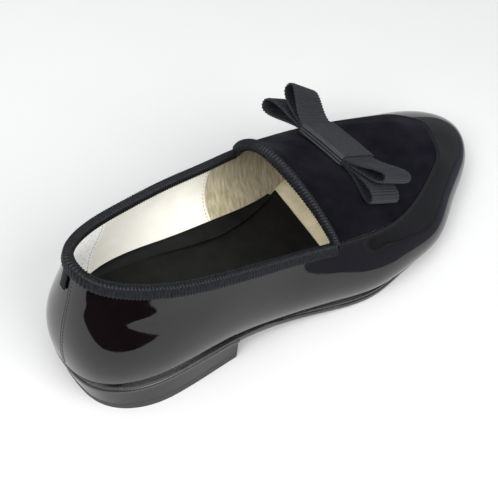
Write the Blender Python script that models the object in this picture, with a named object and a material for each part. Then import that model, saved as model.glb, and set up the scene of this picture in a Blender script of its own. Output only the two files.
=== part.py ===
"""Right-foot tuxedo shoe: a low patent slip-on with a velvet plug, grosgrain bindings and a flat ribbon bow.

The shoe stands on z = 0 with its toe towards +X and its inner (medial) side towards +Y.
All tables are in millimetres, measured from the back of the heel; the model is built in metres.
"""
from collections import namedtuple

import bmesh
import bpy
import numpy as np
from mathutils import Matrix

# Driving sizes
MM = 0.001
GAP = 0.3
WALL = 2.0
PLUG_THICKNESS = 0.9
BINDING_THICKNESS = 0.8
INSOLE_THICKNESS = 2.6
WELT_THICKNESS = 1.9
WELT_END_THICKNESS = 0.6
LIFT_THICKNESS = 4.2

# Profile of the tread: seat height, the flat spot under the ball and the spring of the toe
SEAT_HEIGHT = 16.2
SEAT_END = 40.0
FLAT_START = 176.0
FLAT_END = 224.0
TOE_SPRING = 9.2
LENGTH = 300.0
FOREPART_SOLE = 5.8
SEAT_SOLE = 4.2

# Each section is one row of the last: where the wall starts at the sole (foot), where it ends
# (rim: topline behind the throat, plug seam in front of it), how far it swells outwards low down,
# how far the rim leans in from upright, and how far the sole's edge stands out.
Section = namedtuple(
    "Section",
    "name foot_x foot_lat foot_med rim_x rim_lat rim_med rim_z_lat rim_z_med"
    " swell_lat swell_med lean edge_lat edge_med",
)
SECTIONS = [
    Section("heel_turn", 6.5, 18.5, 18.5, 13.5, 12.0, 12.0, 83.5, 84.0, 5.0, 5.0, 10, 0.6, -1.2),
    Section("heel_side", 23.5, 31.0, 31.0, 31.0, 22.0, 22.5, 77.0, 78.0, 5.0, 5.0, 12, 1.5, -0.8),
    Section("heel_mid", 47.0, 35.5, 34.5, 55.0, 28.0, 29.0, 69.5, 71.5, 5.0, 6.0, 12, 1.5, 0.0),
    Section("breast", 81.0, 36.5, 30.5, 86.0, 32.5, 34.0, 62.0, 65.0, 6.0, 9.0, 12, 1.3, 0.4),
    Section("waist", 110.0, 40.0, 25.0, 113.0, 35.5, 37.0, 55.5, 59.0, 7.0, 13.0, 14, 0.8, 0.2),
    Section("throat", 140.5, 46.5, 27.5, 139.0, 39.5, 40.0, 50.5, 53.2, 7.5, 13.0, 28, 1.5, 0.8),
    Section("joint_back", 169.0, 52.5, 36.0, 166.0, 42.5, 41.0, 45.0, 46.8, 8.5, 9.0, 34, 1.4, 1.6),
    Section("joint", 198.5, 52.2, 43.0, 193.0, 40.5, 39.0, 40.5, 42.0, 9.0, 6.0, 42, -0.4, 2.2),
    Section("joint_front", 225.0, 49.0, 44.0, 217.0, 33.4, 34.5, 37.5, 38.5, 8.0, 5.0, 52, -1.2, 2.0),
    Section("toe_side", 252.0, 36.4, 40.5, 238.0, 24.7, 28.5, 36.0, 36.4, 6.0, 4.5, 60, -1.2, 1.6),
    Section("toe_corner", 276.5, 24.2, 33.2, 254.2, 14.8, 22.0, 35.2, 35.3, 5.0, 6.0, 66, -0.8, 1.4),
    Section("toe_front", 292.5, 10.4, 22.6, 262.0, 3.0, 15.0, 34.8, 34.8, 8.5, 8.0, 70, -0.2, 1.0),
]
# The two ends of the ring: foot x and y, rim x, y and z, swell, lean, edge
HEEL_BACK = (2.0, 0.0, 8.5, 0.0, 86.0, 5.0, 8.0, -1.0)
TOE_TIP = (LENGTH, 7.0, 266.0, 7.0, 34.8, 9.5, 72.0, 0.4)
THROAT_ROW = 6
BREAST_ROW = 4
WAIST_ROW = 5
TOE_ROW = len(SECTIONS) + 1

# Crest of the vamp from the tongue's rear edge to the front of the plug
SPINE = [(128.0, 8.0, 83.5), (155.0, 5.5, 67.8), (186.0, 4.5, 56.8), (210.0, 5.0, 49.8), (233.0, 6.5, 44.4)]
FAN = 0.42
FOOT_HANDLE = 0.36
RIM_HANDLE = 0.36
CREST_HANDLE = 0.45
THROAT_CREST_HANDLE = 0.26
THROAT_SWEEP = 8.0

# Sampling of the last
STEPS_PER_ROW = 3
SOLE_STEPS_PER_ROW = 4
WALL_STEPS = 8
PLUG_STEPS = 7
RING_STEP = 0.05
SLOPE_STEP = 0.5
SKIN_STEP = 0.2
LEVEL_STEP = 0.01
FRACTION_STEP = 0.002
CREST_LEVEL = 0.998
WELD = 0.002
SHARP_ANGLE = 40.0

# Bindings, piping and heel
COLLAR_OUTER = 4.6
COLLAR_INNER = 2.8
THROAT_OUTER = 1.7
THROAT_INNER = 1.8
THROAT_START = 0.10
PIPING_HALF = 1.3
PIPING_HEIGHT = 1.6
PIPING_SHOULDER = 0.65
PIPING_END = 0.012
BINDING_END = 1.5
FOLD_RISE = 0.2
FOLD_CORNER = 0.4
FOLD_PROBE = 0.02
HEEL_INSET = 0.3
HEEL_PITCH = 5.0
HEEL_PITCH_REACH = 40.0
HEEL_FLARE = 0.9
HEEL_LEVELS = 4
EDGE_BEVEL = 0.6
WELT_BEVEL = 0.3
WELT_INSET = 0.4
WELT_RAMP = 6.0
WELT_RAMP_END = 2.0
INSOLE_BEVEL = 0.4

# Bow: its place on the crest, its turn and the ribbon
BOW_X = 181.0
BOW_SHEAR = -10.0
BOW_LIFT = 0.5
BOW_SHIFT = 2.5
RIBBON_WIDTH = 21.0
RIBBON_THICKNESS = 0.7
KNOT_LENGTH = 33.0
BAND_LENGTH = 31.0
KNOT_BEND_RADIUS = 400.0
BAND_STEPS = 8
LOOP_STEPS = 12
LEAVE_HANDLE = 0.4
TIP_HANDLE = 2.0
Loop = namedtuple("Loop", "ribbon side angle length half_height skew twist")
LOOPS = [
    Loop("lower", 1, -6.0, 28.0, 4.4, -2.0, 5.0),
    Loop("lower", -1, -9.0, 28.0, 3.0, -5.0, 4.0),
    Loop("upper", 1, 27.0, 22.5, 4.0, 1.0, 16.0),
    Loop("upper", -1, 11.5, 24.5, 3.2, 2.0, 6.0),
]

Look = namedtuple("Look", "name red green blue roughness")
LOOKS = [
    Look("patent", 0.006, 0.006, 0.008, 0.08),
    Look("velvet", 0.011, 0.009, 0.016, 0.95),
    Look("grosgrain", 0.024, 0.027, 0.034, 0.7),
    Look("sole", 0.012, 0.012, 0.013, 0.45),
    Look("rubber", 0.016, 0.016, 0.017, 0.6),
    Look("sock", 0.017, 0.017, 0.018, 0.75),
]


def remove_everything():
    for old in list(bpy.data.objects):
        bpy.data.objects.remove(old, do_unlink=True)


def smooth_step(value):
    value = np.clip(value, 0.0, 1.0)
    return value * value * (3.0 - 2.0 * value)


# Splines through the tables

def ring_moments(knots, values):
    """Second derivatives of the closed cubic spline through values at knots."""
    count = len(values)
    spans = np.diff(knots)
    matrix = np.zeros((count, count))
    right = np.zeros_like(values)
    for i in range(count):
        before, after = spans[i - 1], spans[i]
        following = (i + 1) % count
        matrix[i, i - 1] += before / 6.0
        matrix[i, i] += (before + after) / 3.0
        matrix[i, following] += after / 6.0
        right[i] = (values[following] - values[i]) / after - (values[i] - values[i - 1]) / before
    return np.linalg.solve(matrix, right)


def ring_value(knots, values, moments, u):
    u = np.mod(u, knots[-1])
    i = np.clip(np.searchsorted(knots, u, side="right") - 1, 0, len(values) - 1)
    j = (i + 1) % len(values)
    span = (knots[i + 1] - knots[i])[:, None]
    a = (knots[i + 1] - u)[:, None] / span
    b = 1.0 - a
    bend = ((a**3 - a) * moments[i] + (b**3 - b) * moments[j]) * span**2 / 6.0
    return a * values[i] + b * values[j] + bend


def open_spline(table, x):
    """Natural cubic through rows of (x, values...)."""
    rows = np.asarray(table, float)
    knots, values = rows[:, 0], rows[:, 1:]
    spans = np.diff(knots)
    matrix = np.eye(len(knots))
    right = np.zeros_like(values)
    for i in range(1, len(knots) - 1):
        matrix[i, i - 1 : i + 2] = spans[i - 1] / 6.0, (spans[i - 1] + spans[i]) / 3.0, spans[i] / 6.0
        right[i] = (values[i + 1] - values[i]) / spans[i] - (values[i] - values[i - 1]) / spans[i - 1]
    moments = np.linalg.solve(matrix, right)
    i = np.clip(np.searchsorted(knots, x, side="right") - 1, 0, len(knots) - 2)
    span = spans[i][:, None]
    a = (knots[i + 1] - x)[:, None] / span
    b = 1.0 - a
    bend = ((a**3 - a) * moments[i] + (b**3 - b) * moments[i + 1]) * span**2 / 6.0
    return a * values[i] + b * values[i + 1] + bend


# Profile of the bottom

def tread_z(x):
    rise = SEAT_HEIGHT * smooth_step((FLAT_START - x) / (FLAT_START - SEAT_END))
    spring = TOE_SPRING * np.clip((x - FLAT_END) / (LENGTH - FLAT_END), 0.0, None) ** 2
    return rise + spring


def foot_z(x):
    seat = smooth_step((FLAT_START - x) / (FLAT_START - SEAT_END))
    return tread_z(x) + FOREPART_SOLE + (SEAT_SOLE - FOREPART_SOLE) * seat


def spine_slope(x):
    ahead, behind = open_spline(SPINE, x + SLOPE_STEP), open_spline(SPINE, x - SLOPE_STEP)
    return (ahead - behind)[:, 1] / (2.0 * SLOPE_STEP)


class Last:
    """The outer skin of the upper: a wall round the whole shoe and a plug over the vamp."""

    def __init__(self):
        rows = [HEEL_BACK]
        for s in SECTIONS:
            rim = s.rim_x, -s.rim_lat, s.rim_z_lat
            rows.append((s.foot_x, -s.foot_lat, *rim, s.swell_lat, s.lean, s.edge_lat))
        rows.append(TOE_TIP)
        for s in reversed(SECTIONS):
            rim = s.rim_x, s.rim_med, s.rim_z_med
            rows.append((s.foot_x, s.foot_med, *rim, s.swell_med, s.lean, s.edge_med))
        self.values = np.array(rows, float)
        closed = np.vstack([self.values, self.values[:1]])
        steps = np.linalg.norm(np.diff(closed[:, :2], axis=0), axis=1)
        self.knots = np.concatenate([[0.0], np.cumsum(steps)])
        self.moments = ring_moments(self.knots, self.values)

    def u_lateral(self, row):
        return np.interp(row, np.arange(TOE_ROW + 1), self.knots[: TOE_ROW + 1])

    def u_medial(self, row):
        return np.interp(row, np.arange(TOE_ROW + 1), self.knots[: TOE_ROW - 1 : -1])

    def ring(self, u):
        u = np.asarray(u, float)
        row = ring_value(self.knots, self.values, self.moments, u)
        ahead = ring_value(self.knots, self.values, self.moments, u + RING_STEP)
        behind = ring_value(self.knots, self.values, self.moments, u - RING_STEP)
        along = (ahead - behind)[:, :2]
        along /= np.linalg.norm(along, axis=1)[:, None]
        out = np.c_[along[:, 1], -along[:, 0], np.zeros(len(u))]
        foot = np.c_[row[:, :2], foot_z(row[:, 0])]
        return foot, row[:, 2:5], out, row[:, 5], np.radians(row[:, 6]), row[:, 7]

    def rim_slope(self, u):
        _, _, out, _, lean, _ = self.ring(u)
        return np.cos(lean)[:, None] * np.array([0.0, 0.0, 1.0]) - np.sin(lean)[:, None] * out

    def wall(self, u, v):
        foot, rim, out, swell, _, _ = self.ring(u)
        span = np.linalg.norm(rim - foot, axis=1)[:, None]
        rise = (rim - foot)[:, 2:] * np.array([0.0, 0.0, 1.0])
        low = foot + out * swell[:, None] + rise * FOOT_HANDLE
        high = rim - self.rim_slope(u) * span * RIM_HANDLE
        return bezier(foot, low, high, rim, v)

    def side_u(self, g):
        """Ring position of the vamp's fraction g: -1 lateral throat, 0 toe tip, 1 medial throat."""
        row = TOE_ROW - np.abs(g) * (TOE_ROW - THROAT_ROW)
        return np.where(g < 0, self.u_lateral(row), self.u_medial(row))

    def crest(self, g):
        back = np.clip((np.abs(g) - FAN) / (1.0 - FAN), 0.0, 1.0)
        x = SPINE[-1][0] + (SPINE[0][0] - SPINE[-1][0]) * back
        return np.c_[x, open_spline(SPINE, x)], spine_slope(x), back

    def plug(self, g, w):
        g = np.asarray(g, float)
        u = self.side_u(g)
        rim = self.ring(u)[1]
        top, slope, back = self.crest(g)
        span = np.linalg.norm(top - rim, axis=1)[:, None]
        level = rim - top
        level[:, 0] *= 1.0 - back
        level[:, 2] = level[:, 0] * slope
        level /= np.linalg.norm(level, axis=1)[:, None]
        low = rim + self.rim_slope(u) * span * RIM_HANDLE
        low[:, 0] -= THROAT_SWEEP * back**2
        reach = CREST_HANDLE + (THROAT_CREST_HANDLE - CREST_HANDLE) * back[:, None] ** 2
        high = top + level * span * reach
        return bezier(rim, low, high, top, w)

    def wall_normal(self, u, v):
        v = np.asarray(v, float)
        across = self.wall(u, np.minimum(v + LEVEL_STEP, 1.0)) - self.wall(u, np.maximum(v - LEVEL_STEP, 0.0))
        along = self.wall(np.asarray(u) + SKIN_STEP, v) - self.wall(np.asarray(u) - SKIN_STEP, v)
        return unit(np.cross(along, across))

    def plug_normal(self, g, w):
        g, w = np.asarray(g, float), np.asarray(w, float)
        inner = np.minimum(w, CREST_LEVEL)
        higher, lower = np.minimum(inner + LEVEL_STEP, 1.0), np.maximum(inner - LEVEL_STEP, 0.0)
        across = self.plug(g, higher) - self.plug(g, lower)
        ahead, behind = np.clip(g + FRACTION_STEP, -1.0, 1.0), np.clip(g - FRACTION_STEP, -1.0, 1.0)
        along = self.plug(ahead, inner) - self.plug(behind, inner)
        slope = self.crest(g)[1]
        level = unit(np.c_[-slope, np.zeros(len(g)), np.ones(len(g))])
        at_crest = (w > CREST_LEVEL)[:, None]
        return np.where(at_crest, level, unit(np.where(at_crest, level, np.cross(along, across))))


def bezier(a, b, c, d, t):
    t = np.asarray(t, float)[:, None]
    return a * (1 - t) ** 3 + 3 * b * t * (1 - t) ** 2 + 3 * c * t**2 * (1 - t) + d * t**3


def unit(vectors):
    return vectors / np.linalg.norm(vectors, axis=1)[:, None]


LAST = Last()


# Mesh making

def material(look):
    shader = bpy.data.materials.new(look.name)
    shader.use_nodes = True
    node = shader.node_tree.nodes["Principled BSDF"]
    node.inputs["Base Color"].default_value = (look.red, look.green, look.blue, 1.0)
    node.inputs["Roughness"].default_value = look.roughness
    node.inputs["Metallic"].default_value = 0.0
    return shader


def solid(name, points, faces, look):
    """One closed object from points in millimetres; shared points are welded."""
    mesh = bpy.data.meshes.new(name)
    mesh.from_pydata([tuple(np.asarray(p) * MM) for p in points], [], faces)
    work = bmesh.new()
    work.from_mesh(mesh)
    bmesh.ops.remove_doubles(work, verts=work.verts, dist=WELD * MM)
    bmesh.ops.dissolve_degenerate(work, edges=work.edges, dist=WELD * MM)
    bmesh.ops.recalc_face_normals(work, faces=work.faces)
    bmesh.ops.triangulate(work, faces=work.faces)
    work.to_mesh(mesh)
    work.free()
    mesh.materials.append(look)
    mesh.shade_smooth()
    mesh.set_sharp_from_angle(angle=np.radians(SHARP_ANGLE))
    piece = bpy.data.objects.new(name, mesh)
    bpy.context.scene.collection.objects.link(piece)
    return piece


def loft(loops, closed):
    """Points and faces through loops of equal length; open lofts get a face at each end."""
    count, size = len(loops), len(loops[0])
    points = [p for loop in loops for p in loop]
    faces = []
    for i in range(count if closed else count - 1):
        j = (i + 1) % count
        for k in range(size):
            m = (k + 1) % size
            faces.append((i * size + k, i * size + m, j * size + m, j * size + k))
    if not closed:
        faces.append(tuple(range(size)))
        faces.append(tuple((count - 1) * size + k for k in range(size)))
    return points, faces


# Stations round the last

def vamp_stations():
    per_side = (TOE_ROW - THROAT_ROW) * STEPS_PER_ROW
    return np.arange(-per_side, per_side + 1) / per_side


def collar_stations():
    """Ring positions from the medial throat round the heel to the lateral throat."""
    rows = np.arange(THROAT_ROW * STEPS_PER_ROW + 1) / STEPS_PER_ROW
    medial = LAST.u_medial(rows[::-1])
    lateral = LAST.u_lateral(rows) + LAST.knots[-1]
    return np.concatenate([medial, lateral[1:]])


def wall_column(u, depth):
    """One upright line of the wall, offset outwards by depth; its lowest point stays at the sole."""
    v = np.linspace(0.0, 1.0, WALL_STEPS + 1)
    us = np.full(len(v), u)
    normal = LAST.wall_normal(us, v)
    normal[0] = LAST.ring(us[:1])[2][0]
    return LAST.wall(us, v) + normal * depth


def plug_column(g, w, depth):
    gs = np.full(len(w), g)
    return LAST.plug(gs, w) + LAST.plug_normal(gs, w) * depth


def upper_column(g, depth):
    """Wall and vamp in one line from the sole to the crest."""
    w = np.linspace(0.0, 1.0, PLUG_STEPS + 1)[1:]
    u = float(LAST.side_u(np.array([g]))[0])
    return np.vstack([wall_column(u, depth), plug_column(g, w, depth)])


def build_upper(look):
    """A hollow wall, open underneath, at the collar and at the throat."""
    vamp = [(upper_column(g, 0.0), upper_column(g, -WALL)) for g in vamp_stations()]
    collar = [(wall_column(u, 0.0), wall_column(u, -WALL)) for u in collar_stations()]
    points, faces = [], []

    def add_sheet(columns):
        """Faces of both skins between neighbouring columns."""
        starts = []
        for outer, inner in columns:
            starts.append((len(points), len(points) + len(outer)))
            points.extend(outer)
            points.extend(inner)
        height = len(columns[0][0])
        for (a, b), (c, d) in zip(starts, starts[1:]):
            for k in range(height - 1):
                faces.append((a + k, c + k, c + k + 1, a + k + 1))
                faces.append((b + k, b + k + 1, d + k + 1, d + k))
            faces.append((a, b, d, c))
        return starts, height

    vamp_starts, height = add_sheet(vamp)
    collar_starts, rim = add_sheet(collar)
    for (a, b), (c, d) in zip(collar_starts, collar_starts[1:]):
        faces.append((a + rim - 1, c + rim - 1, d + rim - 1, b + rim - 1))
    for a, b in (vamp_starts[0], vamp_starts[-1]):
        for k in range(WALL_STEPS, height - 1):
            faces.append((a + k, a + k + 1, b + k + 1, b + k))
    return solid("upper", points, faces, look)


def rim_step(g):
    """How much of the plug's own parameter one millimetre past the seam takes."""
    u = LAST.side_u(np.array([g]))
    span = np.linalg.norm(LAST.crest(np.array([g]))[0] - LAST.ring(u)[1])
    return 1.0 / (3.0 * RIM_HANDLE * span)


def wall_step(u):
    """How much of the wall's own parameter one millimetre below the rim takes."""
    foot, rim = LAST.ring(np.array([u]))[:2]
    return 1.0 / (3.0 * RIM_HANDLE * np.linalg.norm(rim - foot))


def build_plug(look):
    """Velvet overlay on the vamp, cut between two offsets of the upper's own skin."""
    points, faces, starts = [], [], []
    for g in vamp_stations():
        w = np.linspace(0.0, 1.0, PLUG_STEPS + 1)
        w[0] = (PIPING_HALF + GAP) * rim_step(g)
        starts.append(len(points))
        points.extend(plug_column(g, w, GAP))
        points.extend(plug_column(g, w, GAP + PLUG_THICKNESS))
    size = PLUG_STEPS + 1
    for a, b in zip(starts, starts[1:]):
        for k in range(PLUG_STEPS):
            faces.append((a + k, a + k + 1, b + k + 1, b + k))
            faces.append((a + size + k, b + size + k, b + size + k + 1, a + size + k + 1))
        faces.append((a, b, b + size, a + size))
    for a in (starts[0], starts[-1]):
        for k in range(PLUG_STEPS):
            faces.append((a + k, a + size + k, a + size + k + 1, a + k + 1))
    return solid("plug", points, faces, look)


def build_piping(look):
    """Rounded grosgrain band that covers the seam between the plug and the wall."""
    loops = []
    stations = vamp_stations()
    stations[0] += PIPING_END
    stations[-1] -= PIPING_END
    for g in stations:
        u = float(LAST.side_u(np.array([g]))[0])
        below = np.array([1.0 - PIPING_HALF * wall_step(u)])
        past = np.array([PIPING_HALF * rim_step(g)])
        us, gs, edge = np.array([u]), np.array([g]), np.array([1.0])
        spots = [
            (LAST.wall(us, below)[0], LAST.wall_normal(us, below)[0]),
            (LAST.wall(us, edge)[0], LAST.wall_normal(us, edge)[0]),
            (LAST.plug(gs, past)[0], LAST.plug_normal(gs, past)[0]),
        ]
        low = [p + n * GAP for p, n in spots]
        shoulder = PIPING_SHOULDER * PIPING_HEIGHT
        high = [p + n * (GAP + h) for (p, n), h in zip(spots, (shoulder, PIPING_HEIGHT, shoulder))]
        loops.append(low + high[::-1])
    return solid("plug_piping", *loft(loops, False), look)


def build_collar_binding(look):
    """Folded grosgrain over the topline: a deep outer flange, a cap and a short inner flange."""
    stations = collar_stations()
    stations[0] += BINDING_END
    stations[-1] -= BINDING_END
    skin = GAP + BINDING_THICKNESS
    loops = []
    for u in stations:
        depths = np.array([COLLAR_OUTER, 0.5 * COLLAR_OUTER, 0.0, COLLAR_INNER])
        us = np.full(len(depths), u)
        v = 1.0 - depths * wall_step(u)
        spot, normal = LAST.wall(us, v), LAST.wall_normal(us, v)
        up = LAST.rim_slope(us[:1])[0]
        deep, middle, rim, inner = spot
        n_deep, n_middle, n, n_inner = normal
        loops.append([
            deep + n_deep * GAP,
            deep + n_deep * skin,
            middle + n_middle * skin,
            rim + n * skin + up * FOLD_RISE,
            rim + n * FOLD_CORNER * skin + up * skin,
            rim - n * (WALL + FOLD_CORNER * skin) + up * skin,
            rim - n * (WALL + skin) + up * FOLD_RISE,
            inner - n_inner * (WALL + skin),
            inner - n_inner * (WALL + GAP),
            rim - n * (WALL + GAP) + up * GAP,
            rim + n * GAP + up * GAP,
            middle + n_middle * GAP,
        ])
    return solid("collar_binding", *loft(loops, False), look)


def build_throat_binding(look):
    """The same fold over the rear edge of the plug, from one throat corner to the other."""
    w = np.linspace(0.0, 1.0, PLUG_STEPS + 1)
    w[0] = THROAT_START
    outside = GAP + PLUG_THICKNESS + GAP
    skin = GAP + BINDING_THICKNESS
    loops = []
    for side, levels in ((-1.0, w), (1.0, w[-2::-1])):
        for level in levels:
            here, one = np.array([side]), np.array([level])
            edge, n = LAST.plug(here, one)[0], LAST.plug_normal(here, one)[0]
            ahead = LAST.plug(here - side * FOLD_PROBE, one)[0]
            reach = np.linalg.norm(ahead - edge) / FOLD_PROBE
            fold = np.array([side - side * THROAT_OUTER / reach, side - side * THROAT_INNER / reach])
            levels_here = np.full(len(fold), level)
            spot, normal = LAST.plug(fold, levels_here), LAST.plug_normal(fold, levels_here)
            back = (edge - ahead) / np.linalg.norm(edge - ahead)
            loops.append([
                spot[0] + normal[0] * outside,
                spot[0] + normal[0] * (outside + BINDING_THICKNESS),
                edge + n * (outside + BINDING_THICKNESS) + back * FOLD_RISE,
                edge + n * 0.5 * outside + back * skin,
                edge - n * WALL + back * skin,
                edge - n * (WALL + skin) + back * FOLD_RISE,
                spot[1] - normal[1] * (WALL + skin),
                spot[1] - normal[1] * (WALL + GAP),
                edge - n * (WALL + GAP) + back * GAP,
                edge + n * outside + back * GAP,
            ])
    return solid("throat_binding", *loft(loops, False), look)


# Bottom

def ribs(first, last, steps):
    """Pairs of ring positions, lateral and medial, between two section rows."""
    rows = np.linspace(first, last, int(round((last - first) * steps)) + 1)
    return LAST.u_lateral(rows), LAST.u_medial(rows)


def plate(name, first, last, out, top, bottom, bevel, look):
    """A layer that follows the bottom of the last, with its own outline and edge bevel."""
    loops = []
    for pair in zip(*ribs(first, last, SOLE_STEPS_PER_ROW)):
        u = np.array(pair)
        foot, _, normal, _, _, edge = LAST.ring(u)
        reach = out(edge)[:, None]
        full = foot[:, :2] + normal[:, :2] * reach
        cut = foot[:, :2] + normal[:, :2] * (reach - bevel)
        high, low = top(full[:, 0]), bottom(full[:, 0])
        lat, med = 0, 1
        loops.append([
            np.array([*cut[lat], high[lat]]),
            np.array([*full[lat], high[lat] - 0.5 * bevel]),
            np.array([*full[lat], low[lat] + bevel]),
            np.array([*cut[lat], low[lat]]),
            np.array([*cut[med], low[med]]),
            np.array([*full[med], low[med] + bevel]),
            np.array([*full[med], high[med] - 0.5 * bevel]),
            np.array([*cut[med], high[med]]),
        ])
    return solid(name, *loft(loops, False), look)


def welt_thickness(x):
    start, full = SECTIONS[WAIST_ROW - 1].foot_x, SECTIONS[THROAT_ROW - 1].foot_x
    part = smooth_step((x - start) / (full - start))
    return WELT_END_THICKNESS + (WELT_THICKNESS - WELT_END_THICKNESS) * part


def outsole_top(x):
    end = SECTIONS[WAIST_ROW - 1].foot_x - WELT_RAMP_END
    under_welt = smooth_step((x - end + WELT_RAMP) / WELT_RAMP)
    return foot_z(x) - GAP - (welt_thickness(x) + GAP) * under_welt


def build_bottom(looks):
    plate("outsole", 0, TOE_ROW, lambda e: e, outsole_top, tread_z, EDGE_BEVEL, looks["sole"])
    plate("welt", WAIST_ROW, TOE_ROW, lambda e: e - WELT_INSET, lambda x: foot_z(x) - GAP,
          lambda x: foot_z(x) - GAP - welt_thickness(x), WELT_BEVEL, looks["sole"])
    plate("insole", 0, TOE_ROW, lambda e: 0.0 * e - WALL - GAP, lambda x: foot_z(x) + INSOLE_THICKNESS,
          foot_z, INSOLE_BEVEL, looks["sock"])


def heel_outline(level):
    """Lateral and medial edge of the heel at a level from 0, under the seat, to 1, on the floor."""
    pairs = []
    for pair in zip(*ribs(0, BREAST_ROW, SOLE_STEPS_PER_ROW)):
        foot, _, out, _, _, sole_edge = LAST.ring(np.array(pair))
        reach = sole_edge - HEEL_INSET + HEEL_FLARE * level
        edge = foot[:, :2] + out[:, :2] * reach[:, None]
        edge[:, 0] += HEEL_PITCH * level * np.clip(1.0 - foot[:, 0] / HEEL_PITCH_REACH, 0.0, 1.0)
        pairs.append(edge)
    return pairs


def heel_stack(name, levels, heights, look):
    """Ribs across the heel, each a loop down one side and up the other."""
    outlines = [heel_outline(level) for level in levels]
    loops = []
    for i in range(len(outlines[0])):
        down = [np.array([*o[i][0], z(o[i][0][0])]) for o, z in zip(outlines, heights)]
        rising = [np.array([*o[i][1], z(o[i][1][0])]) for o, z in zip(outlines, heights)]
        loops.append(down + rising[::-1])
    return solid(name, *loft(loops, False), look)


def build_heel(looks):
    lift_level = 1.0 - LIFT_THICKNESS / SEAT_HEIGHT
    levels = np.linspace(0.0, lift_level, HEEL_LEVELS)
    floor = LIFT_THICKNESS + GAP

    def height(level):
        part = level / lift_level
        return lambda x: (tread_z(np.array([x]))[0] - GAP) * (1.0 - part) + floor * part

    heel_stack("heel_block", levels, [height(v) for v in levels], looks["patent"])
    heel_stack("heel_lift", [lift_level, 1.0], [lambda x: LIFT_THICKNESS, lambda x: 0.0], looks["rubber"])


# Bow

class BowFrame:
    """Frame of the bow on the crest of the vamp: along the bow, across the ribbon, and up."""

    def __init__(self):
        x = np.array([BOW_X])
        y, z = open_spline(SPINE, x)[0]
        slope = spine_slope(x)[0]
        shear = np.radians(BOW_SHEAR)
        toe = unit(np.array([[1.0, 0.0, slope]]))[0]
        up = unit(np.array([[-slope, 0.0, 1.0]]))[0]
        inward = np.array([0.0, 1.0, 0.0])
        self.along = inward
        self.across = np.sin(shear) * inward + np.cos(shear) * toe
        self.up = up
        self.centre = np.array([BOW_X, y + BOW_SHIFT, z]) + up * (GAP + PLUG_THICKNESS + BOW_LIFT)

    def place(self, s, width, h, shift=0.0, tilt=0.0):
        wide = self.across * (shift + width * np.cos(tilt)) - self.up * width * np.sin(tilt)
        return self.centre + self.along * s + wide + self.up * h


def knot_drop(s):
    return -s * s / (2.0 * KNOT_BEND_RADIUS)


def layer_height(index):
    """Middle of ribbon layer 0 to 3 above the underside of the band."""
    return BINDING_THICKNESS + GAP + 0.5 * RIBBON_THICKNESS + index * (RIBBON_THICKNESS + GAP)


def loop_path(loop, high_layer, low_layer):
    """Middle line of one loop, out along its upper layer and back along its lower one.

    Columns: along the bow, height, shift towards the toe and tilt of the ribbon across its width.
    """
    start = 0.5 * KNOT_LENGTH * loop.side
    angle = np.radians(loop.angle)
    axis = np.array([loop.side * np.cos(angle), np.sin(angle)])
    leave = np.array([loop.side * np.cos(0.5 * angle), np.sin(0.5 * angle)]) * LEAVE_HANDLE * loop.length
    spread = np.array([-loop.side * axis[1], loop.side * axis[0]]) * TIP_HANDLE * loop.half_height
    high = np.array([start, layer_height(high_layer) + knot_drop(start)])
    low = np.array([start, layer_height(low_layer) + knot_drop(start)])
    tip = 0.5 * (high + low) + axis * loop.length
    t = np.linspace(0.0, 1.0, LOOP_STEPS + 1)
    rows = np.ones((len(t), 1))
    out = bezier(rows * high, rows * (high + leave), rows * (tip + spread), rows * tip, t)
    back = bezier(rows * tip, rows * (tip - spread), rows * (low + leave), rows * low, t)
    line = np.vstack([out, back[1:]])
    part = np.clip((line - 0.5 * (high + low)) @ axis / loop.length, 0.0, 1.0)
    return np.c_[line, loop.skew * part * part, np.radians(loop.twist) * part]


def ribbon_ring(name, layers, look, frame):
    """A ribbon sewn into a ring and pinched at its middle, so that it makes two loops."""
    low, high = layers
    far, near = [loop for loop in LOOPS if loop.ribbon == name]
    through = np.linspace(-0.5, 0.5, BAND_STEPS + 1)[1:-1] * KNOT_LENGTH
    flat = np.zeros((len(through), 2))
    top = np.c_[through, layer_height(high) + knot_drop(through), flat]
    bottom = np.c_[through[::-1], layer_height(low) + knot_drop(through), flat]
    path = np.vstack([top, loop_path(far, high, low), bottom, loop_path(near, high, low)[::-1]])
    ahead, behind = np.roll(path, -1, axis=0), np.roll(path, 1, axis=0)
    along = unit((ahead - behind)[:, :2])
    side = np.c_[-along[:, 1], along[:, 0]] * 0.5 * RIBBON_THICKNESS
    half = 0.5 * RIBBON_WIDTH
    loops = []
    for (s, h, shift, tilt), n in zip(path, side):
        corners = ((1.0, -half), (1.0, half), (-1.0, half), (-1.0, -half))
        loops.append([frame.place(s + n[0] * k, w, h + n[1] * k, shift, tilt) for k, w in corners])
    return solid("bow_%s_ribbon" % name, *loft(loops, True), look)


def band_section(grow):
    """Rounded rectangle round the ribbons, as width and height, grown by the band's thickness."""
    half = 0.5 * RIBBON_WIDTH + GAP + grow
    low = BINDING_THICKNESS - grow
    high = layer_height(3) + 0.5 * RIBBON_THICKNESS + GAP + grow
    corner = 0.5 * GAP + grow
    return [(-half + corner, low), (half - corner, low), (half, low + corner), (half, high - corner),
            (half - corner, high), (-half + corner, high), (-half, high - corner), (-half, low + corner)]


def build_bow(look):
    frame = BowFrame()
    ribbon_ring("lower", (0, 1), look, frame)
    ribbon_ring("upper", (2, 3), look, frame)
    stations = np.linspace(-0.5, 0.5, BAND_STEPS + 1) * BAND_LENGTH
    rings = []
    for grow, order in ((BINDING_THICKNESS, stations), (0.0, stations[::-1])):
        for s in order:
            rings.append([frame.place(s, w, h + knot_drop(s)) for w, h in band_section(grow)])
    return solid("bow_band", *loft(rings, True), look)


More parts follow.
